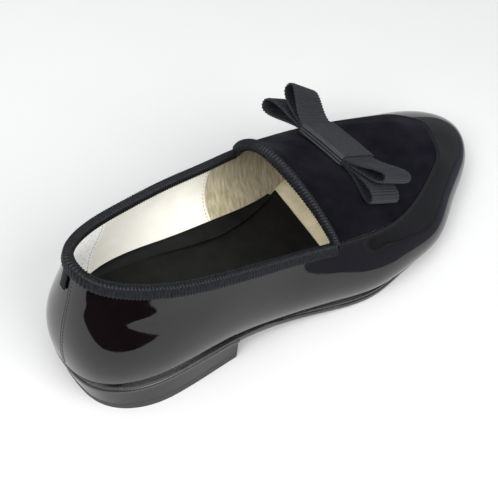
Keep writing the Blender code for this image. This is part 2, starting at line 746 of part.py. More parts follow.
def centre_on_floor():
    """Put the origin under the middle of the whole shoe."""
    meshes = [piece.data for piece in bpy.data.objects]
    corners = np.array([vertex.co for mesh in meshes for vertex in mesh.vertices])
    middle = 0.5 * (corners.min(axis=0) + corners.max(axis=0))
    for mesh in meshes:
        mesh.transform(Matrix.Translation((-middle[0], -middle[1], 0.0)))


def main():
    remove_everything()
    looks = {look.name: material(look) for look in LOOKS}
    build_bottom(looks)
    build_heel(looks)
    build_upper(looks["patent"])
    build_plug(looks["velvet"])
    build_piping(looks["grosgrain"])
    build_collar_binding(looks["grosgrain"])
    build_throat_binding(looks["grosgrain"])
    build_bow(looks["grosgrain"])
    centre_on_floor()


main()
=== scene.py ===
"""Looks of the right-foot tuxedo shoe: skins, linings, ribbed ribbon, stitches, finishes, light and camera.

The tables are the part's own, in millimetres from the back of the heel, and the pieces are made in metres
in the row's frame: toe towards +X, inner side towards +Y, floor at z = 0.
"""
from collections import namedtuple

import bmesh
import bpy
import numpy as np
from mathutils import Matrix


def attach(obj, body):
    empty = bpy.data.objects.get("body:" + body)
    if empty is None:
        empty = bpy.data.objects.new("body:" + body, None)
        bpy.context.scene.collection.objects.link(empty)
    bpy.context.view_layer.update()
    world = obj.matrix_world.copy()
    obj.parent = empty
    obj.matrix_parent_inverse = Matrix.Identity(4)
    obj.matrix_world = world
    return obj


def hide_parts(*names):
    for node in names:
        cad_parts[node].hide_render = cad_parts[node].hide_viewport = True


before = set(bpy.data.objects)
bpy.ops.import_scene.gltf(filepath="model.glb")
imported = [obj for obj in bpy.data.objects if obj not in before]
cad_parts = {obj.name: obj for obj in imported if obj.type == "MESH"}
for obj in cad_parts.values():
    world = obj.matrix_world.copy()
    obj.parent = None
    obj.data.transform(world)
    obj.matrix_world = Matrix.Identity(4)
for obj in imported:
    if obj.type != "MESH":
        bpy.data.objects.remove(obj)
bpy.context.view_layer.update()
BODY = "root"

# Driving sizes, as in the part
MM = 0.001
ORIGIN = np.array([151.11, -1.178, 0.0])
GAP = 0.3
WALL = 2.0
SKIN = 1.0
PLUG_THICKNESS = 0.9
BINDING_THICKNESS = 0.8
INSOLE_THICKNESS = 2.6
WELT_THICKNESS = 1.9
WELT_END_THICKNESS = 0.6
LIFT_THICKNESS = 4.2

# Profile of the tread
SEAT_HEIGHT = 16.2
SEAT_END = 40.0
FLAT_START = 176.0
FLAT_END = 224.0
TOE_SPRING = 9.2
LENGTH = 300.0
FOREPART_SOLE = 5.8
SEAT_SOLE = 4.2

# Sections of the last: foot of the wall, rim, swell, lean of the rim and reach of the sole's edge
Section = namedtuple(
    "Section",
    "name foot_x foot_lat foot_med rim_x rim_lat rim_med rim_z_lat rim_z_med"
    " swell_lat swell_med lean edge_lat edge_med",
)
SECTIONS = [
    Section("heel_turn", 6.5, 18.5, 18.5, 13.5, 12.0, 12.0, 83.5, 84.0, 5.0, 5.0, 10, 0.6, -1.2),
    Section("heel_side", 23.5, 31.0, 31.0, 31.0, 22.0, 22.5, 77.0, 78.0, 5.0, 5.0, 12, 1.5, -0.8),
    Section("heel_mid", 47.0, 35.5, 34.5, 55.0, 28.0, 29.0, 69.5, 71.5, 5.0, 6.0, 12, 1.5, 0.0),
    Section("breast", 81.0, 36.5, 30.5, 86.0, 32.5, 34.0, 62.0, 65.0, 6.0, 9.0, 12, 1.3, 0.4),
    Section("waist", 110.0, 40.0, 25.0, 113.0, 35.5, 37.0, 55.5, 59.0, 7.0, 13.0, 14, 0.8, 0.2),
    Section("throat", 140.5, 46.5, 27.5, 139.0, 39.5, 40.0, 50.5, 53.2, 7.5, 13.0, 28, 1.5, 0.8),
    Section("joint_back", 169.0, 52.5, 36.0, 166.0, 42.5, 41.0, 45.0, 46.8, 8.5, 9.0, 34, 1.4, 1.6),
    Section("joint", 198.5, 52.2, 43.0, 193.0, 40.5, 39.0, 40.5, 42.0, 9.0, 6.0, 42, -0.4, 2.2),
    Section("joint_front", 225.0, 49.0, 44.0, 217.0, 33.4, 34.5, 37.5, 38.5, 8.0, 5.0, 52, -1.2, 2.0),
    Section("toe_side", 252.0, 36.4, 40.5, 238.0, 24.7, 28.5, 36.0, 36.4, 6.0, 4.5, 60, -1.2, 1.6),
    Section("toe_corner", 276.5, 24.2, 33.2, 254.2, 14.8, 22.0, 35.2, 35.3, 5.0, 6.0, 66, -0.8, 1.4),
    Section("toe_front", 292.5, 10.4, 22.6, 262.0, 3.0, 15.0, 34.8, 34.8, 8.5, 8.0, 70, -0.2, 1.0),
]
HEEL_BACK = (2.0, 0.0, 8.5, 0.0, 86.0, 5.0, 8.0, -1.0)
TOE_TIP = (LENGTH, 7.0, 266.0, 7.0, 34.8, 9.5, 72.0, 0.4)
THROAT_ROW = 6
BREAST_ROW = 4
WAIST_ROW = 5
TOE_ROW = len(SECTIONS) + 1

# Crest of the vamp from the tongue's rear edge to the front of the plug
SPINE = [(128.0, 8.0, 83.5), (155.0, 5.5, 67.8), (186.0, 4.5, 56.8), (210.0, 5.0, 49.8), (233.0, 6.5, 44.4)]
FAN = 0.42
FOOT_HANDLE = 0.36
RIM_HANDLE = 0.36
CREST_HANDLE = 0.45
THROAT_CREST_HANDLE = 0.26
THROAT_SWEEP = 8.0

# Bindings, piping and heel
COLLAR_OUTER = 4.6
COLLAR_INNER = 2.8
THROAT_OUTER = 1.7
THROAT_INNER = 1.8
THROAT_START = 0.02
PIPING_HALF = 1.3
PIPING_HEIGHT = 1.6
PIPING_SHOULDER = 0.65
PIPING_END = 0.002
BINDING_END = 0.2
FOLD_RISE = 0.2
FOLD_CORNER = 0.4
FOLD_PROBE = 0.02
HEEL_INSET = 0.3
HEEL_PITCH = 5.0
HEEL_PITCH_REACH = 40.0
HEEL_FLARE = 0.9
EDGE_BEVEL = 0.6
WELT_BEVEL = 0.3
WELT_INSET = 0.4
WELT_RAMP = 6.0
WELT_RAMP_END = 2.0
INSOLE_BEVEL = 0.4

# Bow
BOW_X = 181.0
BOW_SHEAR = -10.0
BOW_LIFT = 0.5
BOW_SHIFT = 2.5
RIBBON_WIDTH = 21.0
RIBBON_THICKNESS = 0.7
KNOT_LENGTH = 33.0
BAND_LENGTH = 31.0
KNOT_BEND_RADIUS = 400.0
LEAVE_HANDLE = 0.4
TIP_HANDLE = 2.0
Loop = namedtuple("Loop", "ribbon side angle length half_height skew twist")
LOOPS = [
    Loop("lower", 1, -6.0, 28.0, 4.4, -2.0, 5.0),
    Loop("lower", -1, -9.0, 28.0, 3.0, -5.0, 4.0),
    Loop("upper", 1, 27.0, 22.5, 4.0, 1.0, 16.0),
    Loop("upper", -1, 11.5, 24.5, 3.2, 2.0, 6.0),
]

# Fineness of the skins
RING_STEP = 0.05
SLOPE_STEP = 0.5
SKIN_STEP = 0.2
LEVEL_STEP = 0.01
FRACTION_STEP = 0.002
CREST_LEVEL = 0.998
WELD = 0.002
TINY = 1e-9
SHARP_ANGLE = 50.0
WALL_STATIONS = 520
WALL_LEVELS = 36
PLUG_STATIONS = 150
PLUG_LEVELS = 26
SOLE_STATIONS = 220
HEEL_LEVELS = 8
PROBE_STATIONS = 600
LOOP_STEPS = 60
KNOT_STEPS = 24

# Ribs of the ribbon and marks of the wheel along the heel seat
RIB_PITCH = 1.7
RIB_HEIGHT = 0.45
RIB_SAMPLES = 6
PIPING_PITCH = 1.5
PIPING_SLANT = 0.35
WHEEL_PITCH = 1.1
WHEEL_HEIGHT = 0.06
SEAT_EDGE_PROUD = 0.7
SEAT_EDGE_BEVEL = 1.5
SEAT_EDGE_DEPTH = 1.8
SEAT_EDGE_GROOVE = 0.5

# Soft troughs (positive depth) and ridges (negative) in the patent: place is a row of the ring,
# lateral 0 to 13 and medial on to 26, level runs from sole to rim
Crease = namedtuple("Crease", "place level half_place half_level slant depth")
CREASES = [
    Crease(1.6, 0.74, 0.90, 0.075, 0.0, 0.32),
    Crease(2.9, 0.72, 0.50, 0.14, -0.6, 0.30),
    Crease(3.6, 0.45, 0.45, 0.22, 0.8, 0.25),
    Crease(6.5, 0.70, 0.40, 0.24, 0.5, 0.18),
    Crease(7.5, 0.55, 0.22, 0.30, -0.7, 0.22),
    Crease(18.6, 0.55, 0.25, 0.30, 0.7, 0.25),
    Crease(21.5, 0.60, 0.50, 0.18, 0.5, 0.30),
    Crease(24.2, 0.60, 0.50, 0.16, -0.4, 0.35),
]

# Lining, heel grip, sock and stitches
LINING_ROW = 5.3
LINING_BOW = 0.15
LINING_STEP = 0.35
GRIP_ROW = 2.7
GRIP_TAPER = 0.2
GRIP_LOW = 0.12
GRIP_HIGH = 0.93
GRIP_THICKNESS = 0.5
SOCK_LATERAL_ROW = 6.56
SOCK_MEDIAL_ROW = 7.08
SOCK_THICKNESS = 0.6
# Where the sock climbs the inner wall at the arch: row and level
ARCH = ((2.2, 0.02), (3.0, 0.10), (4.0, 0.13), (5.0, 0.17), (6.0, 0.12), (6.9, 0.03))
ARCH_FOOT = 0.02
ARCH_STEPS = 8
ARCH_FILLET = 3.5
SOCK_INSET = 0.5
STITCH_LENGTH = 1.7
STITCH_GAP = 0.7
STITCH_RADIUS = 0.24
STITCH_SIDES = 6
STITCH_SINK = 0.35
STITCH_MARGIN = 2.0
# Form of one stitch: part of its length and of its radius
STITCH_PROFILE = ((0.0, 0.45), (0.15, 0.85), (0.5, 1.0), (0.85, 0.85), (1.0, 0.45))
BACK_SEAM_HALF = 0.7
BACK_SEAM_SINK = 0.3
BACK_SEAM_PROUD = 0.3
BACK_SEAM_LOW = 0.02
BACK_SEAM_TOP = 0.92
BACK_STITCH_SHIFT = 1.7
# Ends of the collar binding, folded down beside the seam
TAB_NEAR = -2.2
TAB_FAR = -7.6
TAB_LENGTH = 10.5
TAB_THICKNESS = 1.2
TAB_RIB = 0.2


# Splines and forms of the part

def smooth_step(value):
    value = np.clip(value, 0.0, 1.0)
    return value * value * (3.0 - 2.0 * value)


def unit(vectors):
    return vectors / np.linalg.norm(vectors, axis=-1, keepdims=True)


def bezier(a, b, c, d, t):
    t = np.asarray(t, float)[:, None]
    return a * (1 - t) ** 3 + 3 * b * t * (1 - t) ** 2 + 3 * c * t**2 * (1 - t) + d * t**3


def ring_moments(knots, values):
    """Second derivatives of the closed cubic spline through values at knots."""
    count = len(values)
    spans = np.diff(knots)
    matrix = np.zeros((count, count))
    right = np.zeros_like(values)
    for i in range(count):
        before, after = spans[i - 1], spans[i]
        following = (i + 1) % count
        matrix[i, i - 1] += before / 6.0
        matrix[i, i] += (before + after) / 3.0
        matrix[i, following] += after / 6.0
        right[i] = (values[following] - values[i]) / after - (values[i] - values[i - 1]) / before
    return np.linalg.solve(matrix, right)


def ring_value(knots, values, moments, u):
    u = np.mod(u, knots[-1])
    i = np.clip(np.searchsorted(knots, u, side="right") - 1, 0, len(values) - 1)
    j = (i + 1) % len(values)
    span = (knots[i + 1] - knots[i])[:, None]
    a = (knots[i + 1] - u)[:, None] / span
    b = 1.0 - a
    bend = ((a**3 - a) * moments[i] + (b**3 - b) * moments[j]) * span**2 / 6.0
    return a * values[i] + b * values[j] + bend


def open_spline(table, x):
    """Natural cubic through rows of (x, values...)."""
    rows = np.asarray(table, float)
    knots, values = rows[:, 0], rows[:, 1:]
    spans = np.diff(knots)
    matrix = np.eye(len(knots))
    right = np.zeros_like(values)
    for i in range(1, len(knots) - 1):
        matrix[i, i - 1 : i + 2] = spans[i - 1] / 6.0, (spans[i - 1] + spans[i]) / 3.0, spans[i] / 6.0
        right[i] = (values[i + 1] - values[i]) / spans[i] - (values[i] - values[i - 1]) / spans[i - 1]
    moments = np.linalg.solve(matrix, right)
    i = np.clip(np.searchsorted(knots, x, side="right") - 1, 0, len(knots) - 2)
    span = spans[i][:, None]
    a = (knots[i + 1] - x)[:, None] / span
    b = 1.0 - a
    bend = ((a**3 - a) * moments[i] + (b**3 - b) * moments[i + 1]) * span**2 / 6.0
    return a * values[i] + b * values[i + 1] + bend


def tread_z(x):
    rise = SEAT_HEIGHT * smooth_step((FLAT_START - x) / (FLAT_START - SEAT_END))
    spring = TOE_SPRING * np.clip((x - FLAT_END) / (LENGTH - FLAT_END), 0.0, None) ** 2
    return rise + spring


def foot_z(x):
    seat = smooth_step((FLAT_START - x) / (FLAT_START - SEAT_END))
    return tread_z(x) + FOREPART_SOLE + (SEAT_SOLE - FOREPART_SOLE) * seat


def spine_slope(x):
    ahead, behind = open_spline(SPINE, x + SLOPE_STEP), open_spline(SPINE, x - SLOPE_STEP)
    return (ahead - behind)[:, 1] / (2.0 * SLOPE_STEP)


class Last:
    """The outer skin of the upper: a wall round the whole shoe and a plug over the vamp."""

    def __init__(self):
        rows = [HEEL_BACK]
        for s in SECTIONS:
            rim = s.rim_x, -s.rim_lat, s.rim_z_lat
            rows.append((s.foot_x, -s.foot_lat, *rim, s.swell_lat, s.lean, s.edge_lat))
        rows.append(TOE_TIP)
        for s in reversed(SECTIONS):
            rim = s.rim_x, s.rim_med, s.rim_z_med
            rows.append((s.foot_x, s.foot_med, *rim, s.swell_med, s.lean, s.edge_med))
        self.values = np.array(rows, float)
        closed = np.vstack([self.values, self.values[:1]])
        steps = np.linalg.norm(np.diff(closed[:, :2], axis=0), axis=1)
        self.knots = np.concatenate([[0.0], np.cumsum(steps)])
        self.moments = ring_moments(self.knots, self.values)

    def u_lateral(self, row):
        return np.interp(row, np.arange(TOE_ROW + 1), self.knots[: TOE_ROW + 1])

    def u_medial(self, row):
        return np.interp(row, np.arange(TOE_ROW + 1), self.knots[: TOE_ROW - 1 : -1])

    def place(self, u):
        """Row of the ring, running on from the lateral rows to the medial ones."""
        return np.interp(np.mod(u, self.knots[-1]), self.knots, np.arange(len(self.knots)))

    def ring(self, u):
        u = np.asarray(u, float)
        row = ring_value(self.knots, self.values, self.moments, u)
        ahead = ring_value(self.knots, self.values, self.moments, u + RING_STEP)
        behind = ring_value(self.knots, self.values, self.moments, u - RING_STEP)
        along = unit((ahead - behind)[:, :2])
        out = np.c_[along[:, 1], -along[:, 0], np.zeros(len(u))]
        foot = np.c_[row[:, :2], foot_z(row[:, 0])]
        return foot, row[:, 2:5], out, row[:, 5], np.radians(row[:, 6]), row[:, 7]

    def rim_slope(self, u):
        _, _, out, _, lean, _ = self.ring(u)
        return np.cos(lean)[:, None] * np.array([0.0, 0.0, 1.0]) - np.sin(lean)[:, None] * out

    def wall(self, u, v):
        foot, rim, out, swell, _, _ = self.ring(u)
        span = np.linalg.norm(rim - foot, axis=1)[:, None]
        rise = (rim - foot)[:, 2:] * np.array([0.0, 0.0, 1.0])
        low = foot + out * swell[:, None] + rise * FOOT_HANDLE
        high = rim - self.rim_slope(u) * span * RIM_HANDLE
        return bezier(foot, low, high, rim, v)

    def side_u(self, g):
        """Ring position of the vamp's fraction g: -1 lateral throat, 0 toe tip, 1 medial throat."""
        row = TOE_ROW - np.abs(g) * (TOE_ROW - THROAT_ROW)
        return np.where(g < 0, self.u_lateral(row), self.u_medial(row))

    def crest(self, g):
        back = np.clip((np.abs(g) - FAN) / (1.0 - FAN), 0.0, 1.0)
        x = SPINE[-1][0] + (SPINE[0][0] - SPINE[-1][0]) * back
        return np.c_[x, open_spline(SPINE, x)], spine_slope(x), back

    def plug(self, g, w):
        g = np.asarray(g, float)
        u = self.side_u(g)
        rim = self.ring(u)[1]
        top, slope, back = self.crest(g)
        span = np.linalg.norm(top - rim, axis=1)[:, None]
        level = rim - top
        level[:, 0] *= 1.0 - back
        level[:, 2] = level[:, 0] * slope
        level = unit(level)
        low = rim + self.rim_slope(u) * span * RIM_HANDLE
        low[:, 0] -= THROAT_SWEEP * back**2
        reach = CREST_HANDLE + (THROAT_CREST_HANDLE - CREST_HANDLE) * back[:, None] ** 2
        high = top + level * span * reach
        return bezier(rim, low, high, top, w)

    def wall_normal(self, u, v):
        u, v = np.asarray(u, float), np.asarray(v, float)
        across = self.wall(u, np.minimum(v + LEVEL_STEP, 1.0)) - self.wall(u, np.maximum(v - LEVEL_STEP, 0.0))
        along = self.wall(u + SKIN_STEP, v) - self.wall(u - SKIN_STEP, v)
        return unit(np.cross(along, across))

    def plug_normal(self, g, w):
        g, w = np.asarray(g, float), np.asarray(w, float)
        inner = np.minimum(w, CREST_LEVEL)
        higher, lower = np.minimum(inner + LEVEL_STEP, 1.0), np.maximum(inner - LEVEL_STEP, 0.0)
        across = self.plug(g, higher) - self.plug(g, lower)
        ahead, behind = np.clip(g + FRACTION_STEP, -1.0, 1.0), np.clip(g - FRACTION_STEP, -1.0, 1.0)
        along = self.plug(ahead, inner) - self.plug(behind, inner)
        slope = self.crest(g)[1]
        level = unit(np.c_[-slope, np.zeros(len(g)), np.ones(len(g))])
        at_crest = (w > CREST_LEVEL)[:, None]
        return np.where(at_crest, level, unit(np.where(at_crest, level, np.cross(along, across))))

    def wall_step(self, u):
        """How much of the wall's own parameter one millimetre below the rim takes."""
        foot, rim = self.ring(u)[:2]
        return 1.0 / (3.0 * RIM_HANDLE * np.linalg.norm(rim - foot, axis=1))

    def rim_step(self, g):
        """How much of the plug's own parameter one millimetre past the seam takes."""
        rim = self.ring(self.side_u(g))[1]
        return 1.0 / (3.0 * RIM_HANDLE * np.linalg.norm(self.crest(g)[0] - rim, axis=1))


LAST = Last()


# Mesh making

def add(name, data):
    made = bpy.data.objects.new(name, data)
    bpy.context.scene.collection.objects.link(made)
    return made


def piece(name, points, faces, look, nodes=()):
    """One object from points in the tables' millimetres, riding on the shoe."""
    mesh = bpy.data.meshes.new(name)
    mesh.from_pydata(((np.reshape(points, (-1, 3)) - ORIGIN) * MM).tolist(), [], faces)
    work = bmesh.new()
    work.from_mesh(mesh)
    bmesh.ops.remove_doubles(work, verts=work.verts, dist=WELD * MM)
    bmesh.ops.dissolve_degenerate(work, edges=work.edges, dist=WELD * MM)
    bmesh.ops.recalc_face_normals(work, faces=work.faces)
    work.to_mesh(mesh)
    work.free()
    mesh.materials.append(look)
    mesh.shade_smooth()
    mesh.set_sharp_from_angle(angle=np.radians(SHARP_ANGLE))
    made = add(name, mesh)
    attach(made, BODY)
    if nodes:
        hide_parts(*nodes)
    return made


def sweep_faces(rows, size, closed):
    """Quads between neighbouring closed sections, with flat ends unless the sweep closes on itself."""
    faces = []
    for i in range(rows if closed else rows - 1):
        j = (i + 1) % rows
        for k in range(size):
            m = (k + 1) % size
            faces.append((i * size + k, j * size + k, j * size + m, i * size + m))
    if not closed:
        for base in (0, (rows - 1) * size):
            for k in range(size // 2 - 1):
                faces.append((base + k, base + k + 1, base + size - 2 - k, base + size - 1 - k))
    return faces


def sweep(name, sections, closed, look, nodes=()):
    rows, size = sections.shape[:2]
    return piece(name, sections, sweep_faces(rows, size, closed), look, nodes)


def slab(outer, inner):
    """Closed sections from the lines of two skins."""
    return np.concatenate([outer, inner[:, ::-1]], axis=1)


def rounded(sections):
    """Cuts the corners of closed sections, so that they stay inside their own outline."""
    following = np.roll(sections, -1, axis=1)
    pair = np.stack([0.75 * sections + 0.25 * following, 0.25 * sections + 0.75 * following], axis=2)
    return pair.reshape(len(sections), -1, 3)


def path_length(line):
    return np.concatenate([[0.0], np.cumsum(np.linalg.norm(np.diff(line, axis=0), axis=1))])


def even(stations, line, step):
    """Stations at equal steps along a line given at coarse stations."""
    length = path_length(line)
    count = int(length[-1] / step)
    return np.interp(np.linspace(0.0, length[-1], count + 1), length, stations)


def columns_at(x, knots, rows):
    return np.column_stack([np.interp(x, knots, column) for column in rows.T])


def ribbed(sections, closed, pitch, height, slant=0.0):
    """Presses ribs into a sweep: inwards between the ribs, so the ribs' tops keep the form."""
    if closed:
        along = np.roll(sections, -1, axis=0) - np.roll(sections, 1, axis=0)
    else:
        along = np.gradient(sections, axis=0)
    across = np.roll(sections, -1, axis=1) - np.roll(sections, 1, axis=1)
    normal = np.cross(across, along)
    normal /= np.maximum(np.linalg.norm(normal, axis=2, keepdims=True), TINY)
    middle = sections.mean(axis=1)
    length = path_length(middle)
    turns = length / pitch
    if closed:
        whole = length[-1] + np.linalg.norm(middle[0] - middle[-1])
        turns = length * np.round(whole / pitch) / whole
    area = np.cross(sections - middle[:, None], np.roll(sections, -1, axis=1) - middle[:, None]).sum(axis=1)
    sign = np.sign((area * along.mean(axis=1)).sum(axis=1))[:, None]
    phase = turns[:, None] + slant * np.arange(sections.shape[1])[None] / sections.shape[1]
    cut = height * (0.5 - 0.5 * np.cos(2.0 * np.pi * phase))
    return sections + normal * (sign * cut)[..., None]


def stitches(name, line, normal, look):
    """A row of sewn threads along a line on a surface, as one joined mesh."""
    run = path_length(line)
    starts = np.arange(0.5 * STITCH_GAP, run[-1] - STITCH_LENGTH, STITCH_LENGTH + STITCH_GAP)
    angles = np.arange(STITCH_SIDES) * 2.0 * np.pi / STITCH_SIDES
    parts = np.array([part for part, _ in STITCH_PROFILE])
    points, faces = [], []
    for start in starts:
        base = len(points)
        spots = columns_at(start + parts * STITCH_LENGTH, run, line)
        up = unit(columns_at([start + 0.5 * STITCH_LENGTH], run, normal)[0])
        along = unit(spots[-1] - spots[0])
        side = unit(np.cross(along, up))
        for (part, swell), spot in zip(STITCH_PROFILE, spots):
            lift = STITCH_RADIUS * (np.sin(np.pi * part) - STITCH_SINK)
            radius = STITCH_RADIUS * swell
            for angle in angles:
                points.append(spot + up * (lift + radius * np.sin(angle)) + side * radius * np.cos(angle))
        rings = base + np.arange(len(STITCH_PROFILE)) * STITCH_SIDES
        for row, following in zip(rings, rings[1:]):
            for k in range(STITCH_SIDES):
                m = (k + 1) % STITCH_SIDES
                faces.append((row + k, row + m, following + m, following + k))
        for row in (rings[0], rings[-1]):
            faces.append(tuple(row + k for k in range(STITCH_SIDES)))
    return piece(name, points, faces, look)


# Finishes

class Finish:
    """A Principled material with short calls for the nodes that vary it."""

    def __init__(self, name, colour, roughness, **values):
        self.material = bpy.data.materials.new(name)
        self.material.use_nodes = True
        self.tree = self.material.node_tree
        self.shader = self.tree.nodes["Principled BSDF"]
        self.shader.inputs["Base Color"].default_value = (*colour, 1.0)
        self.shader.inputs["Roughness"].default_value = roughness
        for key, value in values.items():
            self.shader.inputs[key.replace("_", " ")].default_value = value
        self.place = self.tree.nodes.new("ShaderNodeTexCoord").outputs["Object"]

    def noise(self, scale, detail=3.0, stretch=(1.0, 1.0, 1.0)):
        mapping = self.tree.nodes.new("ShaderNodeMapping")
        mapping.inputs["Scale"].default_value = stretch
        self.tree.links.new(self.place, mapping.inputs["Vector"])
        node = self.tree.nodes.new("ShaderNodeTexNoise")
        node.inputs["Scale"].default_value = scale
        node.inputs["Detail"].default_value = detail
        self.tree.links.new(mapping.outputs["Vector"], node.inputs["Vector"])
        return node.outputs["Fac"]

    def cells(self, scale):
        node = self.tree.nodes.new("ShaderNodeTexVoronoi")
        node.inputs["Scale"].default_value = scale
        self.tree.links.new(self.place, node.inputs["Vector"])
        return node.outputs["Distance"]

    def ramp(self, source, low, high, start=0.3, end=0.7):
        node = self.tree.nodes.new("ShaderNodeValToRGB")
        first, last = node.color_ramp.elements
        first.position, last.position = start, end
        first.color, last.color = (*low, 1.0), (*high, 1.0)
        self.tree.links.new(source, node.inputs["Fac"])
        return node.outputs["Color"]

    def vary_colour(self, source, low, high, start=0.3, end=0.7):
        self.tree.links.new(self.ramp(source, low, high, start, end), self.shader.inputs["Base Color"])

    def vary(self, key, source, low, high, start=0.3, end=0.7):
        grey = self.ramp(source, (low,) * 3, (high,) * 3, start, end)
        self.tree.links.new(grey, self.shader.inputs[key])

    def bump(self, source, distance, strength=1.0):
        node = self.tree.nodes.new("ShaderNodeBump")
        node.inputs["Strength"].default_value = strength
        node.inputs["Distance"].default_value = distance * MM
        self.tree.links.new(source, node.inputs["Height"])
        before = self.shader.inputs["Normal"]
        if before.is_linked:
            self.tree.links.new(before.links[0].from_socket, node.inputs["Normal"])
        self.tree.links.new(node.outputs["Normal"], before)


def patent():
    finish = Finish("patent", (0.001, 0.001, 0.001), 0.06)
    finish.vary_colour(finish.noise(60.0), (0.0008, 0.0007, 0.0009), (0.0020, 0.0016, 0.0018))
    finish.vary("Roughness", finish.noise(140.0, 5.0), 0.03, 0.08)
    finish.bump(finish.noise(45.0, 1.0), 0.4, 0.25)
    finish.bump(finish.noise(420.0, 2.0), 0.05, 0.15)
    return finish.material


def velvet():
    finish = Finish("velvet", (0.010, 0.008, 0.014), 0.95, Sheen_Weight=0.017, Sheen_Roughness=0.45,
                    Sheen_Tint=(0.75, 0.72, 0.95, 1.0), Specular_IOR_Level=0.06)
    patches = finish.noise(42.0, 4.0, (1.0, 1.8, 1.0))
    finish.vary_colour(patches, (0.0005, 0.0005, 0.0014), (0.0050, 0.0046, 0.0076))
    finish.vary("Sheen Weight", finish.noise(34.0, 3.0, (1.0, 1.6, 1.0)), 0.003, 0.030, 0.36, 0.66)
    finish.bump(finish.noise(3200.0, 2.0), 0.25, 0.5)
    finish.bump(finish.noise(160.0, 3.0), 0.4, 0.25)
    return finish.material


def grosgrain(name, low, high, gloss, sheen):
    finish = Finish(name, high, 0.5, Sheen_Weight=sheen, Sheen_Roughness=0.4, Specular_IOR_Level=gloss)
    finish.vary_colour(finish.noise(900.0, 4.0), low, high)
    finish.bump(finish.noise(2600.0, 2.0), 0.15, 0.5)
    return finish.material


def sole_leather():
    finish = Finish("sole_leather", (0.012, 0.012, 0.013), 0.35, Specular_IOR_Level=0.5)
    finish.vary_colour(finish.noise(300.0, 4.0), (0.008, 0.008, 0.009), (0.018, 0.017, 0.017))
    finish.vary("Roughness", finish.noise(220.0, 4.0), 0.12, 0.3)
    finish.bump(finish.noise(900.0, 3.0), 0.12, 0.4)
    return finish.material


def burnished_edge():
    finish = Finish("burnished_edge", (0.012, 0.012, 0.012), 0.1, Specular_IOR_Level=1.0)
    finish.vary_colour(finish.noise(300.0, 4.0), (0.006, 0.006, 0.006), (0.016, 0.015, 0.015))
    finish.vary("Roughness", finish.noise(500.0, 4.0), 0.06, 0.16)
    return finish.material


def rubber():
    finish = Finish("rubber", (0.016, 0.016, 0.017), 0.6)
    finish.vary_colour(finish.noise(500.0, 3.0), (0.012, 0.012, 0.013), (0.022, 0.022, 0.022))
    finish.bump(finish.noise(1500.0, 3.0), 0.1, 0.4)
    return finish.material


def lining_leather():
    finish = Finish("lining_leather", (0.88, 0.86, 0.78), 0.62, Specular_IOR_Level=0.35)
    finish.vary_colour(finish.noise(70.0, 4.0), (0.85, 0.82, 0.72), (0.92, 0.90, 0.84))
    finish.bump(finish.cells(900.0), 0.12, 0.4)
    finish.bump(finish.noise(90.0, 3.0), 0.5, 0.25)
    return finish.material


def insole_leather():
    finish = Finish("insole_leather", (0.62, 0.55, 0.38), 0.7, Specular_IOR_Level=0.3)
    finish.vary_colour(finish.noise(110.0, 5.0), (0.52, 0.45, 0.29), (0.68, 0.61, 0.45))
    finish.bump(finish.cells(700.0), 0.15, 0.4)
    return finish.material


def lining_suede():
    finish = Finish("lining_suede", (0.52, 0.45, 0.28), 0.9, Sheen_Weight=0.3, Sheen_Roughness=0.5,
                    Specular_IOR_Level=0.2)
    finish.vary_colour(finish.noise(520.0, 6.0, (1.0, 0.5, 0.16)), (0.33, 0.28, 0.16), (0.64, 0.57, 0.40))
    finish.bump(finish.noise(900.0, 5.0, (1.0, 0.5, 0.16)), 0.5, 0.6)
    return finish.material


def grip_suede():
    finish = Finish("grip_suede", (0.80, 0.78, 0.74), 0.95, Sheen_Weight=0.3, Specular_IOR_Level=0.2)
    finish.vary_colour(finish.noise(1000.0, 2.0), (0.64, 0.64, 0.62), (0.98, 0.97, 0.94), 0.34, 0.5)
    finish.bump(finish.noise(1500.0, 4.0), 0.3, 0.6)
    return finish.material


def sock_leather():
    finish = Finish("sock_leather", (0.016, 0.016, 0.016), 0.7, Specular_IOR_Level=0.16)
    finish.vary_colour(finish.noise(120.0, 5.0), (0.003, 0.003, 0.003), (0.007, 0.007, 0.0068))
    finish.bump(finish.cells(1100.0), 0.12, 0.4)
    finish.bump(finish.noise(60.0, 2.0), 0.6, 0.2)
    return finish.material


def thread(name, colour):
    finish = Finish(name, colour, 0.7, Sheen_Weight=0.2)
    darker = tuple(0.6 * c for c in colour)
    finish.vary_colour(finish.noise(1500.0, 2.0), darker, colour)
    return finish.material


# Pieces of the upper

def crease_depth(u, v):
    place = LAST.place(u)
    depth = np.zeros(len(u))
    for c in CREASES:
        across = (place - c.place - c.slant * (v - c.level)) / c.half_place
        depth += c.depth * np.exp(-across**2 - ((v - c.level) / c.half_level) ** 2)
    return depth


def off_wall(u, v, depth):
    return LAST.wall(u, v) + LAST.wall_normal(u, v) * depth


def wall_sheet(u, v, depth):
    """Grid of the wall at ring positions u (rows) and levels v (columns), offset outwards by depth."""
    us, vs = np.broadcast_arrays(u, v)
    shape = us.shape
    us, vs = us.ravel(), vs.ravel()
    normal = LAST.wall_normal(us, vs)
    level = vs < LEVEL_STEP
    normal[level] = LAST.ring(us[level])[2]
    depths = np.broadcast_to(depth, shape).ravel()[:, None]
    return (LAST.wall(us, vs) + normal * depths).reshape(*shape, 3)


def plug_sheet(a, w, depth):
    """Grid over the vamp: rows from throat to toe, columns from the lateral seam to the medial one."""
    lines = []
    for side in (-1.0, 1.0):
        gs, ws = np.broadcast_arrays(side * a[:, None], w)
        flat_g, flat_w = gs.ravel(), ws.ravel()
        spots = LAST.plug(flat_g, flat_w) + LAST.plug_normal(flat_g, flat_w) * depth
        lines.append(spots.reshape(*gs.shape, 3))
    return np.concatenate([lines[0], lines[1][:, -2::-1]], axis=1)


